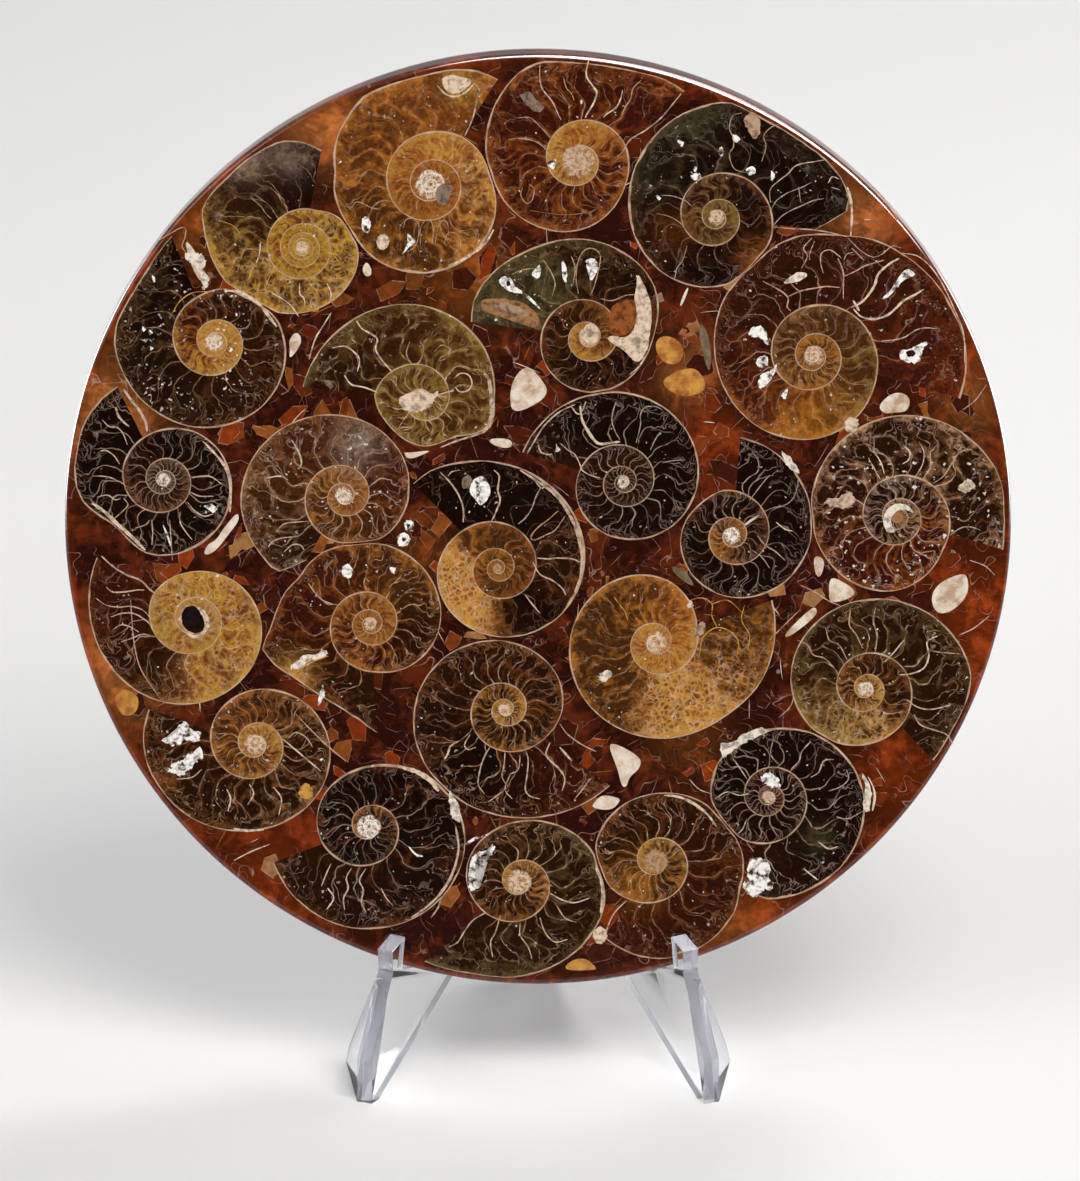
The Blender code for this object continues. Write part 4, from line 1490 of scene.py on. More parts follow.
class ScatterBlades(Scatter):
    """Sets a long splinter on each point."""

    name = "set_splinters"

    def solid(self, tree: Tree) -> Socket:
        """A bar of unit length that tapers at both ends."""
        values = {"Size": (1.0, 1.0, 1.0), "Vertices X": 11, "Vertices Y": 2, "Vertices Z": 2}
        bar = tree.node("GeometryNodeMeshCube", values=values, output="Mesh")
        where = tree.node("GeometryNodeInputPosition")
        parts = tree.node("ShaderNodeSeparateXYZ", values={0: where}).output.node
        x, y, z = (Socket(tree, output) for output in parts.outputs)
        taper = 1.02 - abs(x * 2.0).math("POWER", 3.0)
        values = {"Geometry": bar, "Position": tree.vector(x, y * taper, z)}
        return self.with_rim(tree, tree.node("GeometryNodeSetPosition", values=values), 0.0)


@dataclass
class Rubble:
    """The shards and splinters that fill the resin between the ammonites.

    A reach is how far from the disc's middle they lie, and a bend is its size and its scale.
    """

    seed: int = 7
    shard_count: int = 210
    splinter_count: int = 130
    shard_top: float = 0.014
    splinter_top: float = 0.026
    shard_reach: float = 94.0
    splinter_reach: float = 95.5
    shard_bend: tuple[float, float] = (4.0, 0.4)
    splinter_bend: tuple[float, float] = (5.0, 0.05)
    step: float = 0.009
    thickness: float = 0.6

    def build(self) -> list[bpy.types.Object]:
        """Make the shards and the splinters."""
        draw = np.random.default_rng(self.seed)
        walls = [front_loop(f"ammonite_{item.number:02d}") for item in AMMONITES]
        material = ShardFinish().material("shards")
        count = self.shard_count
        tint = draw.beta(1.2, 2.4, count)
        shards = self._scatter(
            "resin_shards", Scatter(), material,
            self._free(draw, count, walls, self.shard_reach), self.shard_top, self.shard_bend,
            size=draw.uniform(0.4, 1.0, count) ** 2 * 3.2,
            stretch=draw.uniform(0.7, 1.6, count),
            turn=draw.uniform(0, 2 * math.pi, count),
            tint=tint,
        )
        count = self.splinter_count
        width = draw.uniform(0.07, 0.2, count)
        length = draw.uniform(1.2, 3.4, count) ** 1.6
        splinters = self._scatter(
            "resin_splinters", ScatterBlades(), material,
            self._free(draw, count, walls, self.splinter_reach), self.splinter_top,
            self.splinter_bend,
            size=np.sqrt(width * length),
            stretch=np.sqrt(length / width),
            turn=draw.uniform(0, 2 * math.pi, count),
            tint=draw.uniform(0.55, 1.0, count),
        )
        return [shards, splinters]

    @staticmethod
    def _free(draw: np.random.Generator, count: int, walls: list[np.ndarray],
              limit: float) -> np.ndarray:
        """Pick points of the face that lie in none of the ammonites.

        Args:
            draw: The source of random numbers.
            count: How many points to find.
            walls: The ammonites' outlines.
            limit: How far from the middle they may lie.

        Returns:
            The points, as rows.
        """
        found: list[np.ndarray] = []
        while len(found) < count:
            point = draw.uniform(-limit, limit, 2)
            if np.hypot(*point) < limit and not any(holds(wall, point) for wall in walls):
                found.append(point)
        return np.array(found)

    def _scatter(self, name: str, maker: Scatter, material: bpy.types.Material,
                 points: np.ndarray, top: float, bend: tuple[float, float],
                 **looks: np.ndarray) -> bpy.types.Object:
        """Set one solid on each point.

        Args:
            name: The piece's name.
            maker: The tree that sets and bends the solids.
            material: The piece's material.
            points: Where they stand.
            top: How far the highest one stands out of the face.
            bend: How far they are bent, and the scale of the bends.
            looks: The numbers that the tree and the material read, by name.

        Returns:
            The piece.
        """
        mesh = bpy.data.meshes.new(name)
        heights = np.linspace(-self.step, 0, len(points))
        mesh.from_pydata(np.column_stack([points, heights]).tolist(), [], [])
        for label, values in looks.items():
            store(mesh, label, values, "POINT")
        result = maker.run(linked_object(name, mesh), {
            "Thickness": self.thickness, "Bend": bend[0], "Bend Scale": bend[1],
            "Material": material,
        })
        return place_piece(name, result, [], raised(top - self.thickness / 2))


def holds(outline: np.ndarray, point: np.ndarray) -> bool:
    """Say whether a closed outline holds a point.

    Args:
        outline: Its corners in order.
        point: The point.

    Returns:
        Whether the point lies inside.
    """
    x, y = outline[:, 0], outline[:, 1]
    nx, ny = np.roll(x, -1), np.roll(y, -1)
    crosses = (y > point[1]) != (ny > point[1])
    with np.errstate(divide="ignore", invalid="ignore"):
        left = point[0] < x + (point[1] - y) * (nx - x) / (ny - y)
    return bool(np.count_nonzero(crosses & left) % 2)


def add_flat(body: bmesh.types.BMesh, outline: np.ndarray, top: float,
             depth: float) -> list[bmesh.types.BMVert]:
    """Add a flat-topped solid to a mesh, in millimetres.

    Args:
        body: The mesh.
        outline: The solid's corners in order.
        top: The height of its top.
        depth: How far it goes down.

    Returns:
        The new vertices.
    """
    upper = [body.verts.new((x, y, top)) for x, y in outline]
    lower = [body.verts.new((x, y, top - depth)) for x, y in outline]
    body.faces.new(upper)
    body.faces.new(lower)
    for i in range(len(upper)):
        j = (i + 1) % len(upper)
        body.faces.new((upper[i], upper[j], lower[j], lower[i]))
    return upper + lower


def curve_through(points: np.ndarray, closed: bool, steps: int = 5) -> np.ndarray:
    """Round a chain of points into a smooth curve through them (Catmull-Rom).

    Args:
        points: The points, as rows.
        closed: Whether the last one joins the first.
        steps: How many points each span becomes.

    Returns:
        The curve's points.
    """
    if closed:
        chain = np.vstack([points[-1], points, points[:2]])
    else:
        chain = np.vstack([2 * points[0] - points[1], points, 2 * points[-1] - points[-2]])
    t = (np.arange(steps) / steps)[:, None]
    spans = [
        0.5 * (2 * b + (c - a) * t + (2 * a - 5 * b + 4 * c - d) * t**2
               + (3 * b - a - 3 * c + d) * t**3)
        for a, b, c, d in zip(chain, chain[1:], chain[2:], chain[3:])
    ]
    return np.vstack(spans if closed else [*spans, points[-1:]])


class InlayFinish(Finish):
    """Pearly shell and crystal, each of its own colour, worn and grainy."""

    roughness = 0.18
    ior = 1.55

    def looks(self, tree: Tree) -> dict[str, Socket]:
        """Each inlay's hue in patches. The rest of white crystal is dark, and of shell dim."""
        at = PLACE.coordinates(tree)
        patch = tree.noise(tree.moved(at, tree.noise_colour(at, 0.7), 1.5), 0.6, 3.0, 0.65)
        grain = tree.noise(at, 1.2, 3.0, 0.6)
        hue = tree.colour("hue")
        blue = tree.node("ShaderNodeSeparateColor", values={0: hue}, output="Blue")
        crystal = blue.rise(0.6, 0.75)
        under = tree.mix(crystal, tree.scaled(hue, 0.4), Hue.UMBER.value)
        fill = tree.mix(patch.rise(0.34, 0.56), under, hue)
        return {"Base Color": tree.scaled(fill, 0.7 + grain * 0.55),
                "Roughness": (0.1 + grain * 0.25).clamped(),
                "Normal": self.bump(tree, grain, 0.00001)}


@dataclass(frozen=True)
class Inlay:
    """A line or a flake of shell set in the face. Lengths are in millimetres.

    size is half a line's width, or how ragged a flake's edge is. A line's ends have tip of its
    full width, and its width wavers by wobble either way.
    """

    hue: Hue
    size: float
    points: np.ndarray
    tip: float = 0.45
    wobble: float = 0.25
    ragged: float = 0.35

    @classmethod
    def rows(cls, table: str) -> list["Inlay"]:
        """Read a table of inlays, one after another.

        Args:
            table: For each a hue, its size in hundredths of a millimetre, its first point right
                and up from the disc's middle in tenths of a millimetre, and the steps from
                each point to the next.

        Returns:
            The inlays.
        """
        found: list[tuple[str, list[float]]] = []
        for word in table.split():
            if word.isalpha():
                found.append((word, []))
            else:
                found[-1][1].append(float(word))
        return [cls(Hue[hue.upper()], size / 100, np.array(steps).reshape(-1, 2).cumsum(0) / 10)
                for hue, (size, *steps) in found]

    def line(self, draw: np.random.Generator) -> np.ndarray:
        """Outline of a line that swells and tapers."""
        middle = curve_through(self.points, closed=False)
        along = np.gradient(middle, axis=0)
        along /= np.hypot(*along.T)[:, None]
        across = np.column_stack([-along[:, 1], along[:, 0]])
        share = np.linspace(0, 1, len(middle))
        width = self.size * (self.tip + (1 - self.tip) * np.sin(np.pi * share) ** 0.5)
        width *= draw.uniform(1 - self.wobble, 1 + self.wobble, len(middle))
        side = across * width[:, None]
        return np.vstack([middle + side, (middle - side)[::-1]])

    def flake(self, draw: np.random.Generator) -> np.ndarray:
        """Outline of a flake with a ragged edge."""
        edge = curve_through(self.points, closed=True)
        return edge + draw.normal(0, self.size * self.ragged, edge.shape)


@dataclass
class Inlays:
    """All the lines and flakes, each a hair above the last so that no two are level."""

    lines: list[Inlay]
    flakes: list[Inlay]
    seed: int = 5
    flake_top: float = 0.048
    line_top: float = 0.062
    step: float = 0.00004
    depth: float = 0.3

    def build(self) -> list[bpy.types.Object]:
        """Make the lines and the flakes."""
        draw = np.random.default_rng(self.seed)
        material = InlayFinish().material("inlays")
        return [
            self._merged("shell_flakes", [(i.hue, i.flake(draw)) for i in self.flakes],
                         self.flake_top, material),
            self._merged("shell_lines", [(i.hue, i.line(draw)) for i in self.lines],
                         self.line_top, material),
        ]

    def _merged(self, name: str, outlines: list[tuple[Hue, np.ndarray]], top: float,
                material: bpy.types.Material) -> bpy.types.Object:
        """Make one piece of many flat solids.

        Args:
            name: The piece's name.
            outlines: Each solid's hue and its outline.
            top: The height of the first one's top.
            material: The piece's material.

        Returns:
            The piece.
        """
        body = bmesh.new()
        layer = body.verts.layers.float_color.new("hue")
        for i, (hue, outline) in enumerate(outlines):
            for vert in add_flat(body, outline, top + i * self.step, self.depth):
                vert[layer] = (*hue.value, 1.0)
        mesh = new_mesh(name, body, material)
        return place_piece(name, mesh, [], PLACE.matrix)


LINES = Inlay.rows("""
cream 27 -188 553 27 11 28 17 23 20 17 28
shell 14 -154 827 15 32 8 28 2 17
cream 18 -211 934 19 -19 21 -4 21 10 17 18
tan 9 -283 633 6 17 13 2 13 -10 0 -26 -7 -22 -17 -13
tan 9 -247 594 0 35 10 19 13 -2 4 -22 -2 -25
tan 9 -216 599 5 30 10 19 11 -6 2 -26
tan 9 -197 599 7 21 15 2 10 -11 2 -17 -10 -13
tan 9 -391 676 9 11 14 -2 17 -9 19 -4
shell 12 -129 904 6 20 -10 15
shell 12 4 977 0 -32 7 -21 19 -24 12 -26 7 -13
tan 10 53 952 6 -22 11 -13 6 -15
cream 19 106 988 -5 -32 13 -22 9 -15 -7 -23 -12 -20 -5 -10
cream 14 177 924 -4 -18 -10 -19 -19 -13 -7 -8
tan 12 216 945 -17 -17 -5 -22 -12 -19 -9 -21
shell 14 300 917 -21 -26 -21 -25 -32 -26 -32 -20 -17 -26 -10 -10
tan 10 -42 866 25 0 21 -18 17 -19 9 -13
tan 10 -63 820 25 2 32 -6 21 -15 10 -13
bronze 7 -17 670 42 -7 43 -2 42 6 21 11
tan 9 -32 719 -4 -17 11 -17 12 6 5 24 -11 11
ash 12 492 635 19 22 21 13 22 10 25 11 21 4
ash 9 551 687 -2 15 -2 17
shell 12 488 687 -2 17 4 15 17 15 19 15 11 13 17 7 25 4 21 4
tan 9 469 773 9 32 -5 22 13 17 19 9
tan 10 440 749 -28 9 -11 30 9 17 -2 22 -7 17 7 26 19 6
ash 10 490 672 11 19 21 15 32 13 21 11
cream 12 609 728 8 13 15 -5
ash 9 615 719 19 -6
ash 9 258 702 25 -2 25 -9 13 -11
ash 7 249 663 26 -6 25 -15 17 -22
ash 10 313 594 -9 -30 -12 -17 -5 -26
cream 27 657 616 2 49 -4 33 -6 21
pink 12 494 635 38 -4 43 -2 42 -7 32 -8
cream 24 659 463 21 11 17 19 11 19 6 20 13 15 17 13 15 8
cream 24 663 461 17 -17 26 -5 27 7 19 15 17 17 21 11 21 13
shell 13 723 392 25 2 23 6 26 16 21 4 21 -2
pink 14 642 482 0 33 0 21 -6 19 -6 13
pink 13 644 530 22 10 19 11 21 7 21 6
pink 13 600 536 -6 22 2 21 17 7 17 -11 8 -7
pink 10 642 564 7 13 14 4
pink 14 473 519 21 -11 22 -13 10 -13 -2 -17 8 -9
pink 14 526 487 28 12 25 5 27 4 28 -2
pink 12 575 611 -17 -21 8 -17 -12 -26
pink 10 581 605 -10 -26 0 -15
pink 10 651 611 25 -25 26 -15 21 6 21 17 19 -4
cream 12 765 579 32 -6 27 -22 25 -36 26 -54 21 -54 2 -58
cream 26 663 478 13 -22
honey 10 -446 601 13 10 15 -2 8 -15 -6 -15 -17 -4 -13 11
honey 9 -448 564 19 9 15 -18 13 18
tan 9 -604 698 21 -18 12 -17 11 -11
tan 9 -562 719 17 -17 8 -17
honey 10 -575 499 9 26 12 22 15 15
cream 14 -501 515 0 -22 9 -11 2 -17
cream 13 -444 515 9 -22 -5 -21
cream 13 -583 601 -2 -22 -7 -21
honey 9 -672 650 32 -13 15 -17
tan 12 -799 605 26 15 23 13 10 -4 -2 -18 -6 -17 8 -13
cream 34 -653 499 23 -2 26 -13 21 -17 21 -28 13 -17
honey 12 -689 497 -36 -2 -27 -17 -17 -26
shell 29 -824 198 -4 22 -13 25 -17 22 -15 22
shell 24 -890 250 5 -17 10 -13 13 -11
shell 12 -919 224 15 -15 17 -2 12 -13 9 -24
shell 13 -923 157 14 0 15 -11 11 -17
shell 12 -942 103 21 0 21 -4 17 -9
shell 12 -930 58 21 4 17 -10 11 4
tan 13 -894 13 15 13 13 15 -9 15
shell 13 -731 99 21 4 21 -2 21 -15
shell 13 -735 69 21 -9 29 0
shell 13 -740 47 13 -17 21 -13 21 5
shell 12 -756 26 0 -22 12 -21 13 -17
white 19 -792 -2 10 -26 7 -24
shell 12 -816 9 2 -22 -2 -32
tan 12 -820 9 -10 -11 -22 -7
cream 24 -708 179 23 -24 22 -28 12 -32 2 -43 -2 -26
cream 38 -942 45 27 -19 28 -28 25 -22 32 -32
cream 14 -571 99 26 4 17 -8
shell 19 -520 181 13 -22 8 -26 -4 -12
shell 13 -554 -17 17 17 24 4 27 2
shell 13 -571 -50 11 13 19 7 21 2
shell 13 -537 -60 17 15 17 0 9 -11
cream 18 -382 435 12 -17 19 -11 13 -11 -4 -21 12 -22 22 -26
cream 18 -433 377 25 4 19 -11 13 -17 -4 -26
cream 18 -408 319 15 -20 27 -6 28 -11
tan 12 -270 390 -7 -26 13 -22 15 7 8 26 -8 17
cream 13 -213 276 19 6 17 4
cream 13 -177 312 14 11 17 -4 7 -18 -9 -15 -17 -2 -10 11
tan 10 -218 370 15 13 17 -8 -4 -18 -17 -8
tan 10 -270 241 -13 -17 -13 -22
tan 10 -239 241 2 -26 9 -17
tan 10 -216 254 22 -17 12 -13
shell 41 -114 323 10 -13 5 -32 2 -37 -7 -28 -12 -17
shell 18 -116 196 -28 -9 -31 -10 -32 -13
white 27 -53 510 19 -15 17 -13 21 -21
tan 13 85 493 -5 32 5 39 14 22 19 2 13 -15 -4 -30 -9 -35 -8 -19
tan 12 11 564 14 -21 11 -28 -6 -26
tan 12 70 573 8 -26 -4 -32
tan 10 -55 534 21 9 26 4
cream 14 226 360 -15 -24 -17 -15
tan 12 131 482 25 -4 28 11 21 2
cream 29 89 252 4 -28 13 -26 14 -19 11 -7 21 2 21 3
shell 14 70 252 12 -15 11 0
shell 14 93 241 8 22
ash 12 165 263 -7 -22 -2 -21 7 -22 10 -17
ash 12 207 174 9 39 0 22 10 15 21 2 15 -7
ash 12 237 159 10 22 11 17
shell 13 46 174 17 -15 15 -10 11 -22 4 -11 17 -11 21 -6
shell 13 0 170 6 -15 15 -6 9 2
ash 9 262 131 21 5 28 2
shell 16 -23 151 17 30 21 32 31 28 32 15
shell 18 -207 112 21 -22 17 -25 11 -31 0 -30
shell 19 -93 116 11 -13 -3 -30 5 -21 -9 -26 -10 -22
ash 13 6 78 -10 -18 -9 -26 -14 -21 -15 -13
shell 13 -8 95 14 -17 13 4
shell 12 -190 103 8 9 17 4
shell 30 -38 116 32 -21 31 -22 21 -21 17 -26 17 -35 9 -36 4 -33 -4 -38 -11 -30
tan 14 57 17 -21 -30 -21 -11 -21 -10 -9 6 13 19 23 18 21 19
shell 16 -2 -73 23 -2 21 2 30 -2 17 -7
shell 14 -11 -82 15 -26 26 -13 21 -17 8 -15
shell 14 -27 -153 16 -21 15 -18
ash 10 440 56 -9 24 13 19 19 13 2 21 -13 22
ash 10 448 52 15 21 17 22 10 10
ash 10 473 24 21 10 28 7 17 15 8 22 2 17
ash 13 463 -24 17 -21 23 -15 19 -18
ash 10 452 -56 21 -15 17 -24
cream 14 503 4 19 -15 15 -4
cream 26 437 -2 15 11 15 10
tan 13 835 88 21 15 15 24 14 22 17 10 15 2
shell 12 797 103 14 24 3 28 -11 22
shell 12 723 95 -15 26 -11 21
ash 12 871 -24 21 15 21 3 21 -7
cream 14 771 168 13 -13 -2 -17 -13 -9
cream 14 706 159 17 -26 8 -25
cream 34 -708 -185 11 -26 -11 -22 -17 -10 -17 6
shell 18 -923 -69 23 -21 27 -18 32 -13 21 -21 11 -7
shell 14 -913 -136 13 -10 25 0 26 4 16 0
shell 13 -936 -159 21 -15 28 -5 25 2 25 -8 17 -17
shell 13 -904 -200 25 8 27 -2 26 -17 10 -17
shell 12 -900 -228 17 11 21 -5 17 -11
shell 12 -883 -254 25 9 21 8 17 -4
shell 13 -486 -127 13 -19 17 -18 21 -8
honey 18 -511 -325 21 24 21 8 25 9
shell 18 25 -472 -8 -25 13 -18 16 -15 11 -21 -6 -26
shell 14 -27 -487 6 -21 -2 -32 -4 -33 10 -15 21 -6
shell 13 -70 -491 -2 -28 -4 -28 13 -21
shell 13 -38 -502 -4 -28 -17 -10
shell 13 -101 -480 -13 -22 -9 -28 -4 -32 13 -21
cream 19 -169 -469 -17 -11 -6 -17 -7 -11
shell 13 -144 -454 -12 -22 8 -11 15 5
shell 12 -70 -573 -21 -17 -15 -11
shell 12 -59 -540 -11 -33 15 -21
honey 10 161 -157 12 -17 11 -15 6 -18
honey 12 342 -282 7 37 25 21 27 -4 22 -22 0 -32
honey 10 321 -164 26 5 21 -13 0 -26 12 -26
honey 10 437 -174 -6 -33 17 -32 -4 -32
honey 10 368 -172 33 8 30 -25
tan 16 661 -185 -2 -32 15 -22 13 -28
tan 16 714 -179 -4 -32 8 -28 -4 -37
tan 13 609 -224 8 -26 21 -11 17 -32
tan 14 549 -250 22 -11 12 -21 23 -7 22 -21
cream 16 765 -325 25 2 28 13 10 28 -4 28 21 13
cream 13 735 -297 19 21 21 26
tan 13 824 -271 25 -5 22 -2 25 -2
shell 14 782 -379 21 -15 25 -6 26 4 21 6
shell 12 797 -411 14 -22 28 -11 27 -10 15 -22
shell 13 -714 -530 -21 -17 -32 -4
cream 18 -661 -573 8 -21 -6 -26
cream 14 -613 -562 9 -21 -13 -24
cream 14 -562 -568 17 -26 -6 -35
shell 13 -530 -461 17 11 21 -11 14 -21
cream 24 -647 -659 30 -4 34 2
shell 14 -440 -734 -10 -22 -11 -28
shell 16 -397 -745 -11 -21 4 -22 -10 -22 2 -25
shell 16 -366 -745 -14 -26 8 -21 -4 -28 10 -22
cream 18 -448 -788 13 -22 -15 -25
shell 13 -334 -788 11 -22 15 -17
cream 48 -287 -527 27 -7 28 -17 21 -26
shell 27 -175 -655 6 -47 -13 -54 -25 -43 -32 -32 -31 -22
white 19 -275 -698 15 -17 15 -4
white 27 -154 -693 21 13 25 8
shell 14 -112 -842 -27 -17 -19 -26 -13 -21 -19 -11
shell 14 -80 -848 -11 -37 -10 -21 4 -33
shell 13 -38 -863 0 -28 17 -26 8 -26
shell 14 4 -853 11 -32 21 -21 27 6
shell 12 36 -820 21 -33 25 -10
cream 16 25 -799 26 -15 27 -6 32 10
shell 14 -228 -853 15 22 6 21
cream 26 123 -745 12 -32 2 -33 -4 -32
cream 26 268 -586 32 -4 32 -15 27 -22 21 -28
shell 14 188 -816 -25 -26 -15 -32 -4 -26
ash 13 412 -504 15 -21 17 -26
ash 13 499 -465 -5 -32 17 -22
shell 13 579 -469 -19 -22 -6 -21 -17 -18
shell 13 628 -508 -22 -4 -10 -24 -17 -11
ash 12 655 -530 4 -21 -17 -17 -25 -9
ash 12 691 -620 -32 -17 -25 4
shell 13 376 -594 25 15 26 -7 21 3
shell 16 596 -687 21 -15 21 4
cream 16 566 -747 30 -24
shell 13 444 -637 -9 -22 -12 -13
cream 14 -482 353 13 43 19 32 15 24
pink 12 -778 9 5 -87
pink 10 680 741 43 -43 33 -48
pink 10 913 -78 32 -12 21 -20
pink 12 892 -239 31 15 32 26
cream 12 -566 499 42 -27 21 -28
pink 13 -513 -411 31 -33 32 -32 42 -36
cream 14 -545 -461 84 -73
pink 12 46 -431 17 -23 30 -22 30 -15
cream 24 46 -482 13 -15 13 -15
pink 10 110 -551 -15 -22 -17 -21
pink 12 554 -131 31 -15 28 -18 29 -13
cream 12 494 -174 17 -22
pink 10 490 -250 32 33 32 32
pink 10 448 -379 0 -39
pink 10 511 -418 26 28 6 33
pink 12 321 -551 21 -22 26 -10
pink 10 945 299 -22 -32 -27 -22
pink 12 -862 -164 6 -86 15 -64 42 -65
cream 12 -647 -728 38 20 38 15
pink 10 659 590 26 -26
""")

FLAKES = Inlay.rows("""
cream 15 -338 611 13 9 12 -9 -2 -17 -13 -8 -10 10
white 20 -370 650 11 7 8 -15 -4 -18 -13 3
white 20 -273 620 9 -9 6 -8 -12 -11 -15 -15 10 22
smoke 10 -213 715 19 13 14 -9 -6 -21 -11 -18 -16 11
cream 10 -201 947 19 9 21 -4 22 -7 -13 -19 -21 -9 -19 7
white 10 19 771 19 6 -6 -21
smoke 25 -38 913 21 6 17 -17 13 -15 -17 -9 -17 13
white 20 385 805 4 -11 -4 -10 -7 8
white 20 410 831 13 -9 -7 -8 -8 6
white 20 292 818 14 -4 -6 -9
white 20 321 745 17 4 4 -11 -17 -4
white 20 437 758 15 4 4 -13 -14 -4
white 20 490 754 7 -11 -7 -11
white 20 247 700 11 -2 -4 -7
white 20 328 762 6 -4 -6 -7
tan 30 431 861 17 17 15 -12 2 -31 -13 -13 -12 18
white 20 723 482 17 17 16 24 17 22 19 -11 -23 -13 -15 -17 -19 -20
white 35 761 370 21 5 21 10 17 5 -11 -20 -2 -17 -21 -9 -21 11
white 35 442 411 21 13 17 -13 6 -28 -11 9 -12 8 -13 0
white 30 461 353 19 7 4 -20 -19 -4
white 35 463 301 10 20 21 11 9 10 -11 -32 -19 -19
white 30 511 276 15 15 -4 -22
bone 20 518 517 25 21 23 -4 -12 -13 -26 -6
bone 50 -740 577 19 2 19 -6 3 -18 -7 -12 11 -13 2 -15 -9 -13 -6 15 -2 19 -13 17 -14 11
white 20 -811 532 6 -7 -2 -8
white 20 -833 422 7 -4 -4 -7
white 20 -818 416 7 -7 -7 -4
white 20 -833 381 7 -4 -7 -5
white 20 -816 381 7 -4 -7 -5
white 30 -704 39 15 4 11 -11 -9 -8 -10 8
cream 30 -292 271 26 13 17 2 21 -6 17 4 -5 -17 -16 -15 -22 -13 -21 2 -12 11
white 10 -82 519 10 11 15 -5 8 -15 15 -15 -17 0 -19 9
bronze 10 -118 478 27 4 36 -2 34 -13 21 -23 6 -26 -23 4 -38 13 -36 13 -23 8
tan 10 -97 469 27 5 28 -9 21 -17 -21 -4 -28 8
white 15 101 562 13 6 11 -8 -2 -22 -11 -17 -6 13
white 15 -4 547 8 6 2 -17 -8 -11 -11 9
white 15 51 564 10 -21 -2 -26 -8 13
cream 10 211 532 15 -28 11 -32 2 -33 -4 -32 -3 -26 -14 -28 -15 -4 -21 21 -34 24 8 9 28 -3 17 18 6
32 -4 32 4 26
rust 10 156 465 21 11 24 2 4 -28 -6 -30 -17 -15 -26 0 -6 30
cream 10 101 426 15 2 11 -15 -2 -21 -15 -7 -13 9 0 17
white 10 -142 84 11 15 15 2 12 -15 3 -21 -11 -18 -11 -6 -12 15 -9 13
smoke 20 -161 95 13 10 9 -8 -7 -19 -12 0
bone 30 513 157 15 -11 15 -19 8 -19 -14 6 -15 17
shell 60 606 52 28 6 25 11 13 -17 -17 -18 -27 3 -15 2
bone 10 771 43 -17 0 -17 -13 -8 -21 8 -24 15 -2 -4 15 -2 15 13 15 19 2 14 -6 -8 13
cream 40 887 82 22 13 14 -13 -19 -13 -12 2
black 15 -754 -194 10 15 17 2 13 -15 8 -19 -4 -17 -17 -7 -19 9 -8 17
white 30 -416 -99 15 13 12 -17 -15 -15
white 30 -315 -93 13 -2 -4 -13
bone 50 -526 -310 15 17 21 11 21 0 13 13 10 -13 -32 -15 -25 -13
white 30 -467 -392 4 24 7 21 4 -17 -7 -17
white 60 -799 -467 26 13 12 21 17 7 9 -20 17 -6 -5 -17 -23 4 -19 -13 -23 4
white 60 -794 -527 21 8 21 11 17 17 19 7 4 -20 -19 -17 -15 -13 -15 -9 -21 7
honey 30 -507 -573 13 13 16 -13 -4 -17 -17 -4 -10 8
bone 30 -188 -577 13 -17 12 -37 -4 -13 -15 9 -6 28
white 40 -148 -760 4 30 13 17 25 9 9 11 4 -13 -17 -17 -19 -9 -4 -22 -2 -23 10 -11 -19 -6 -6 15
cream 30 125 -876 12 2 11 -17 -9 -18 -16 3 -7 15
white 50 475 -547 15 9 21 -15 0 -18 -17 5 -14 6
white 50 450 -728 13 5 23 -5 8 -17 -4 -21 13 -11 -9 -15 -14 -2 -17 -13 -17 8 -11 11 9 26
bone 30 689 -540 15 -22 4 -28 -4 -28 -11 -2 -2 26 4 26
bone 40 387 -476 29 7 21 15 36 15 9 -11 -34 -17 -25 -15 -28 -22
cream 30 653 228 19 -4 2 -17 -15 -11 -12 13
bone 40 131 -323 17 9 8 -13 -12 -13 -15 4
tan 30 332 -224 17 13 6 -17 -17 -13
cream 50 321 -164 9 -13 -13 0
bone 40 38 170 8 -11 -8 -4
white 30 -283 0 10 9 11 -9 -4 -15 -13 2
white 30 -296 -26 15 7 11 -13 -9 -15 -15 2
soot 10 -277 0 7 -2 -5 -7
soot 10 -287 -30 8 -2 -6 -7
soot 10 -66 519 7 0 0 -9 -7 0
soot 20 775 368 15 4 4 -10 -14 -5
""")


# Easel


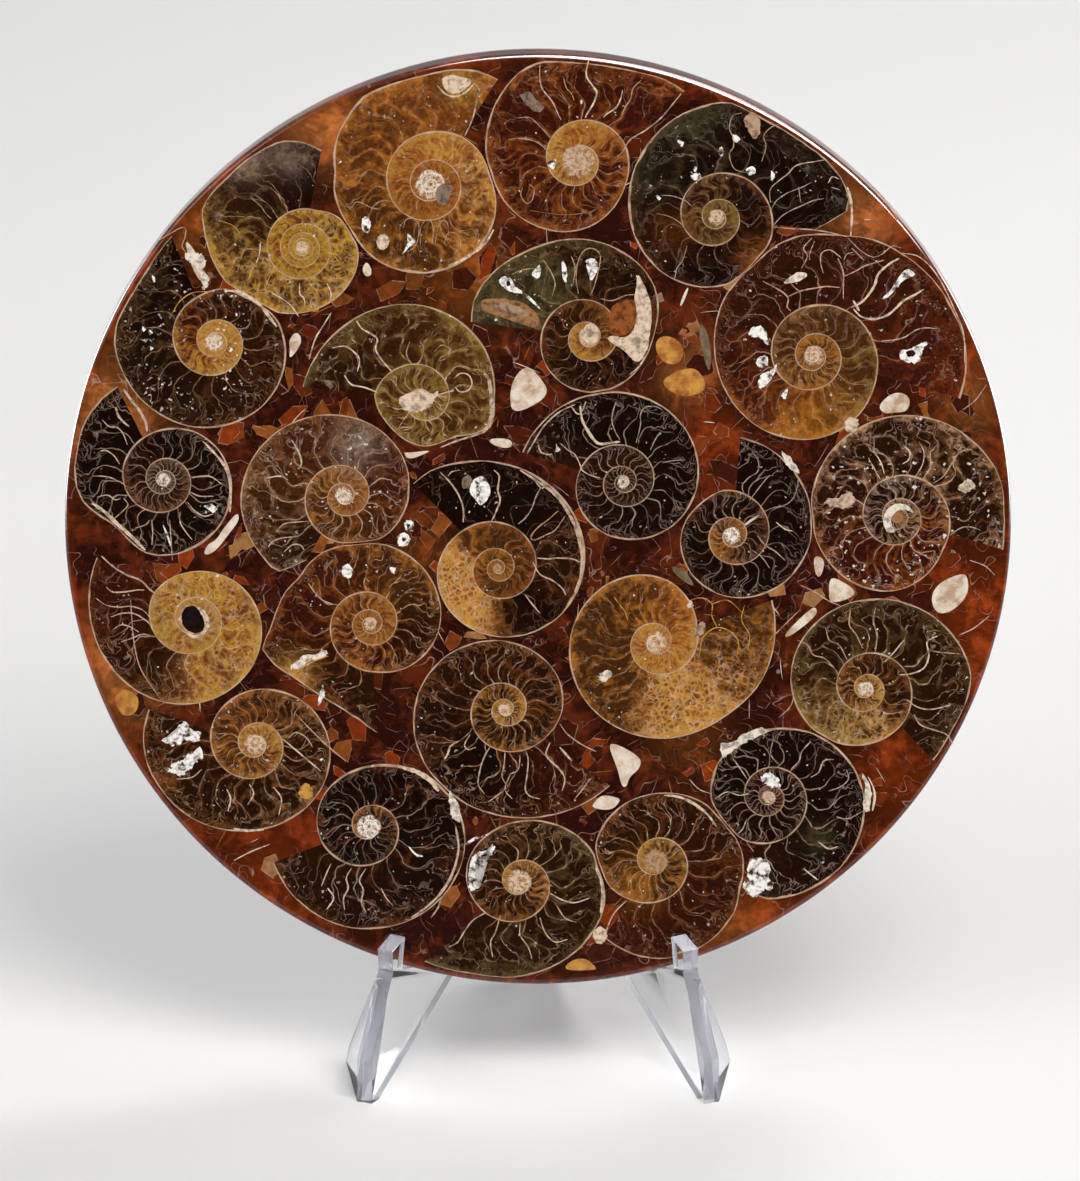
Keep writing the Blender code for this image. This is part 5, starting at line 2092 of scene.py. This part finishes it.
@dataclass(frozen=True)
class AcrylicFinish(Finish):
    """Clear cast acrylic with faint handling marks, and milky where it is cut."""

    clear: Colour = (0.97, 0.98, 0.985)
    milky: Colour = (0.40, 0.40, 0.46)
    milky_roughness: float = 0.25
    milk: float = 0.4
    roughness = 0.03
    ior = 1.49
    transmission = 1.0

    def looks(self, tree: Tree) -> dict[str, Socket]:
        """Smears and hair scratches, and rougher cut faces."""
        where = tree.node("ShaderNodeTexCoord", output="Object")
        smear = self._smear(tree)
        values = {"Vector": where, "Scale": (300.0, 300.0, 2500.0)}
        hair = tree.noise(tree.node("ShaderNodeMapping", values=values), 1.0, 2.0)
        rough = smear.rise(0.55, 0.8) * 0.05 + 0.015 + tree.number("cut") * 0.12
        return {"Roughness": rough, "Normal": self.bump(tree, hair, 0.000004)}

    @staticmethod
    def _smear(tree: Tree) -> Socket:
        """Soft smears all over."""
        return tree.noise(tree.node("ShaderNodeTexCoord", output="Object"), 60.0, 3.0)

    def adjust(self, tree: bpy.types.NodeTree, shader: bpy.types.Node) -> None:
        """Mix the milk of the cut faces in."""
        shader.inputs["Base Color"].default_value = (*self.clear, 1)
        cloudy = tree.nodes.new("ShaderNodeBsdfPrincipled")
        cloudy.inputs["Base Color"].default_value = (*self.milky, 1)
        cloudy.inputs["Roughness"].default_value = self.milky_roughness
        both = tree.nodes.new("ShaderNodeMixShader")
        wrapped = Tree(tree)
        share = wrapped.number("cut") * (0.6 + self._smear(wrapped) * 0.8) * self.milk
        tree.links.new(share.output, both.inputs[0])
        tree.links.new(shader.outputs[0], both.inputs[1])
        tree.links.new(cloudy.outputs[0], both.inputs[2])
        tree.links.new(both.outputs[0], tree.nodes["Material Output"].inputs["Surface"])


@dataclass
class Easel:
    """Two hooked wings and the spine behind them, with eased edges.

    Angles are in degrees. A face counts as cut where it turns this far from the broadest face.
    """

    nodes: tuple[str, ...] = ("easel_wing_left", "easel_wing_right", "easel_spine")
    ease: float = 0.35 * MM
    ease_steps: int = 2
    level: float = 1.0
    eased_from: float = 30.0
    smooth_up_to: float = 25.0
    broad: float = 0.98

    def build(self) -> list[bpy.types.Object]:
        """Make the three pieces."""
        material = AcrylicFinish().material("clear_acrylic")
        return [place_piece(f"{node}_clear", self._eased(node, material), [node])
                for node in self.nodes]

    def _eased(self, node: str, material: bpy.types.Material) -> bpy.types.Mesh:
        """Copy a CAD solid, ease its edges and mark its cut faces.

        Args:
            node: The CAD node.
            material: The piece's material.

        Returns:
            The eased copy.
        """
        body = bmesh.new()
        body.from_mesh(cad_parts[node].data)
        bmesh.ops.remove_doubles(body, verts=body.verts, dist=WELD)
        bmesh.ops.dissolve_limit(body, angle_limit=math.radians(self.level), verts=body.verts,
                                 edges=body.edges)
        sharp = [edge for edge in body.edges
                 if edge.calc_face_angle(0) > math.radians(self.eased_from)]
        bmesh.ops.bevel(body, geom=sharp, offset=self.ease, segments=self.ease_steps,
                        affect="EDGES", profile=0.5, clamp_overlap=True)
        bmesh.ops.remove_doubles(body, verts=body.verts, dist=SLIVER)
        bmesh.ops.dissolve_degenerate(body, dist=SLIVER, edges=body.edges)
        mesh = new_mesh(node, body, material)
        mesh.shade_smooth()
        mesh.set_sharp_from_angle(angle=math.radians(self.smooth_up_to))
        broad = max(mesh.polygons, key=lambda face: face.area).normal
        cut = [float(abs(face.normal.dot(broad)) < self.broad) for face in mesh.polygons]
        store(mesh, "cut", np.array(cut), "FACE")
        return mesh


# Studio


@dataclass(frozen=True)
class Lamp:
    """A soft box. only_mirrored keeps it to the shine on polished edges."""

    name: str
    place: tuple[float, float, float]
    aim: tuple[float, float, float]
    width: float
    height: float
    power: float
    colour: Colour = (1.0, 1.0, 1.0)
    only_mirrored: bool = False


class FloorFinish(Finish):
    """A plain pale floor, faintly uneven."""

    roughness = 0.55
    specular = 0.0
    hues = ((0.72, 0.71, 0.70), (0.75, 0.745, 0.735))

    def looks(self, tree: Tree) -> dict[str, Socket]:
        """Two pale greys in clouds."""
        where = tree.node("ShaderNodeTexCoord", output="Object")
        return {"Base Color": tree.mix(tree.noise(where, 3.0, 3.0), *self.hues)}


class CardFinish(Finish):
    """Matt black."""

    roughness = 1.0
    specular = 0.0
    black: Colour = (0.004, 0.004, 0.004)

    def adjust(self, tree: bpy.types.NodeTree, shader: bpy.types.Node) -> None:
        """Set the black."""
        shader.inputs["Base Color"].default_value = (*self.black, 1)


@dataclass
class Studio:
    """Pale floor, soft lights, a dark card for the polish to mirror, and the camera.

    Places and lengths are in metres, angles in degrees and the aims in millimetres. The card is
    its left, right, lower and upper edges and how far in front of the disc it stands.
    """

    floor_size: float = 12.0
    card: tuple[float, float, float, float, float] = (-0.5, 0.5, 0.001, 0.4, -0.3)
    sky: Colour = (0.85, 0.87, 0.9)
    sky_strength: float = 0.35
    pitch: float = 22.0
    distance: float = 2.0
    frame_height: float = 0.2495
    aim_down: float = 14.05
    aim_right: float = 0.42
    lamps: tuple[Lamp, ...] = (
        Lamp("key", (0.5, -0.9, 1.5), (0, 0, 0.1), 0.9, 0.9, 20, (1.0, 0.98, 0.95)),
        Lamp("fill", (-1.2, -0.8, 1.0), (0, 0, 0.1), 1.0, 1.0, 9, (0.95, 0.97, 1.0)),
        Lamp("rim", (0.5, 0.7, 1.1), (0, 0, 0.15), 0.5, 0.5, 9),
        Lamp("top", (0.4, -0.3, 1.1), (0, 0, 0.12), 0.9, 1.4, 130, only_mirrored=True),
        Lamp("left", (-0.55, 0.34, 0.13), (0, 0.34, 0.12), 0.5, 0.3, 10, only_mirrored=True),
        Lamp("right", (0.55, 0.34, 0.13), (0, 0.34, 0.12), 0.5, 0.3, 10, only_mirrored=True),
    )

    def build(self) -> None:
        """Add everything."""
        self._floor()
        self._card()
        self._lights()
        self._camera()
        world = bpy.data.worlds.new("studio")
        world.use_nodes = True
        sky = world.node_tree.nodes["Background"]
        sky.inputs["Color"].default_value = (*self.sky, 1)
        sky.inputs["Strength"].default_value = self.sky_strength
        bpy.context.scene.world = world
        bpy.context.scene.view_settings.view_transform = "Standard"

    def _plane(self, name: str, corners: list[tuple[float, float, float]],
               finish: Finish) -> bpy.types.Object:
        """Make one flat quad of the stage.

        Args:
            name: Its name, and its material's.
            corners: Its corners in order.
            finish: Its finish.

        Returns:
            The quad.
        """
        mesh = bpy.data.meshes.new(name)
        mesh.from_pydata(corners, [], [(0, 1, 2, 3)])
        made = linked_object(name, mesh)
        mesh.materials.append(finish.material(name))
        return made

    def _floor(self) -> None:
        """Plain pale floor, under the part."""
        half = self.floor_size / 2
        low = CAD_BOX[0][2]
        self._plane("floor", [(-half, -half, low), (half, -half, low), (half, half, low),
                              (-half, half, low)], FloorFinish())

    def _card(self) -> None:
        """A dark card in front, seen only in the polish."""
        left, right, lower, upper, y = self.card
        card = self._plane("card", [(left, y, lower), (right, y, lower), (right, y, upper),
                                    (left, y, upper)], CardFinish())
        card.visible_camera = False
        card.visible_diffuse = False
        card.visible_shadow = False
        card.visible_transmission = False

    def _lights(self) -> None:
        """Add the lamps."""
        for lamp in self.lamps:
            light = bpy.data.lights.new(lamp.name, "AREA")
            light.shape = "RECTANGLE"
            light.size, light.size_y = lamp.width, lamp.height
            light.energy = lamp.power
            light.color = lamp.colour
            made = bpy.data.objects.new(lamp.name, light)
            made.location = lamp.place
            way = Vector(lamp.aim) - Vector(lamp.place)
            made.rotation_euler = way.to_track_quat("-Z", "Y").to_euler()
            made.visible_diffuse = not lamp.only_mirrored
            bpy.context.scene.collection.objects.link(made)

    def _camera(self) -> None:
        """The camera in front of the disc, looking down."""
        pitch = math.radians(self.pitch)
        up = Vector((0, math.sin(pitch), math.cos(pitch)))
        back = Vector((0, -math.cos(pitch), math.sin(pitch)))
        aim = PLACE.matrix.translation - up * self.aim_down * MM
        aim += Vector((1, 0, 0)) * self.aim_right * MM
        lens = bpy.data.cameras.new("camera")
        lens.sensor_fit = "VERTICAL"
        lens.sensor_height = 36.0
        lens.lens = lens.sensor_height * self.distance / self.frame_height
        lens.clip_end = 50.0
        made = bpy.data.objects.new("camera", lens)
        made.location = aim + back * self.distance
        made.rotation_euler = (math.radians(90) - pitch, 0, 0)
        bpy.context.scene.collection.objects.link(made)
        bpy.context.scene.camera = made


def write_sizes() -> None:
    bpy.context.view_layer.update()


def main() -> None:
    """Build the disc, the easel and the studio."""
    logging.basicConfig(level=logging.INFO, format="%(name)s %(message)s")
    Studio().build()
    ResinPlate().build()
    maker = CoilTree()
    for item in AMMONITES:
        item.build(maker)
    Rubble().build()
    Chips().build()
    Inlays(LINES, FLAKES).build()
    Easel().build()
    write_sizes()


if __name__ == "__main__":
    main()
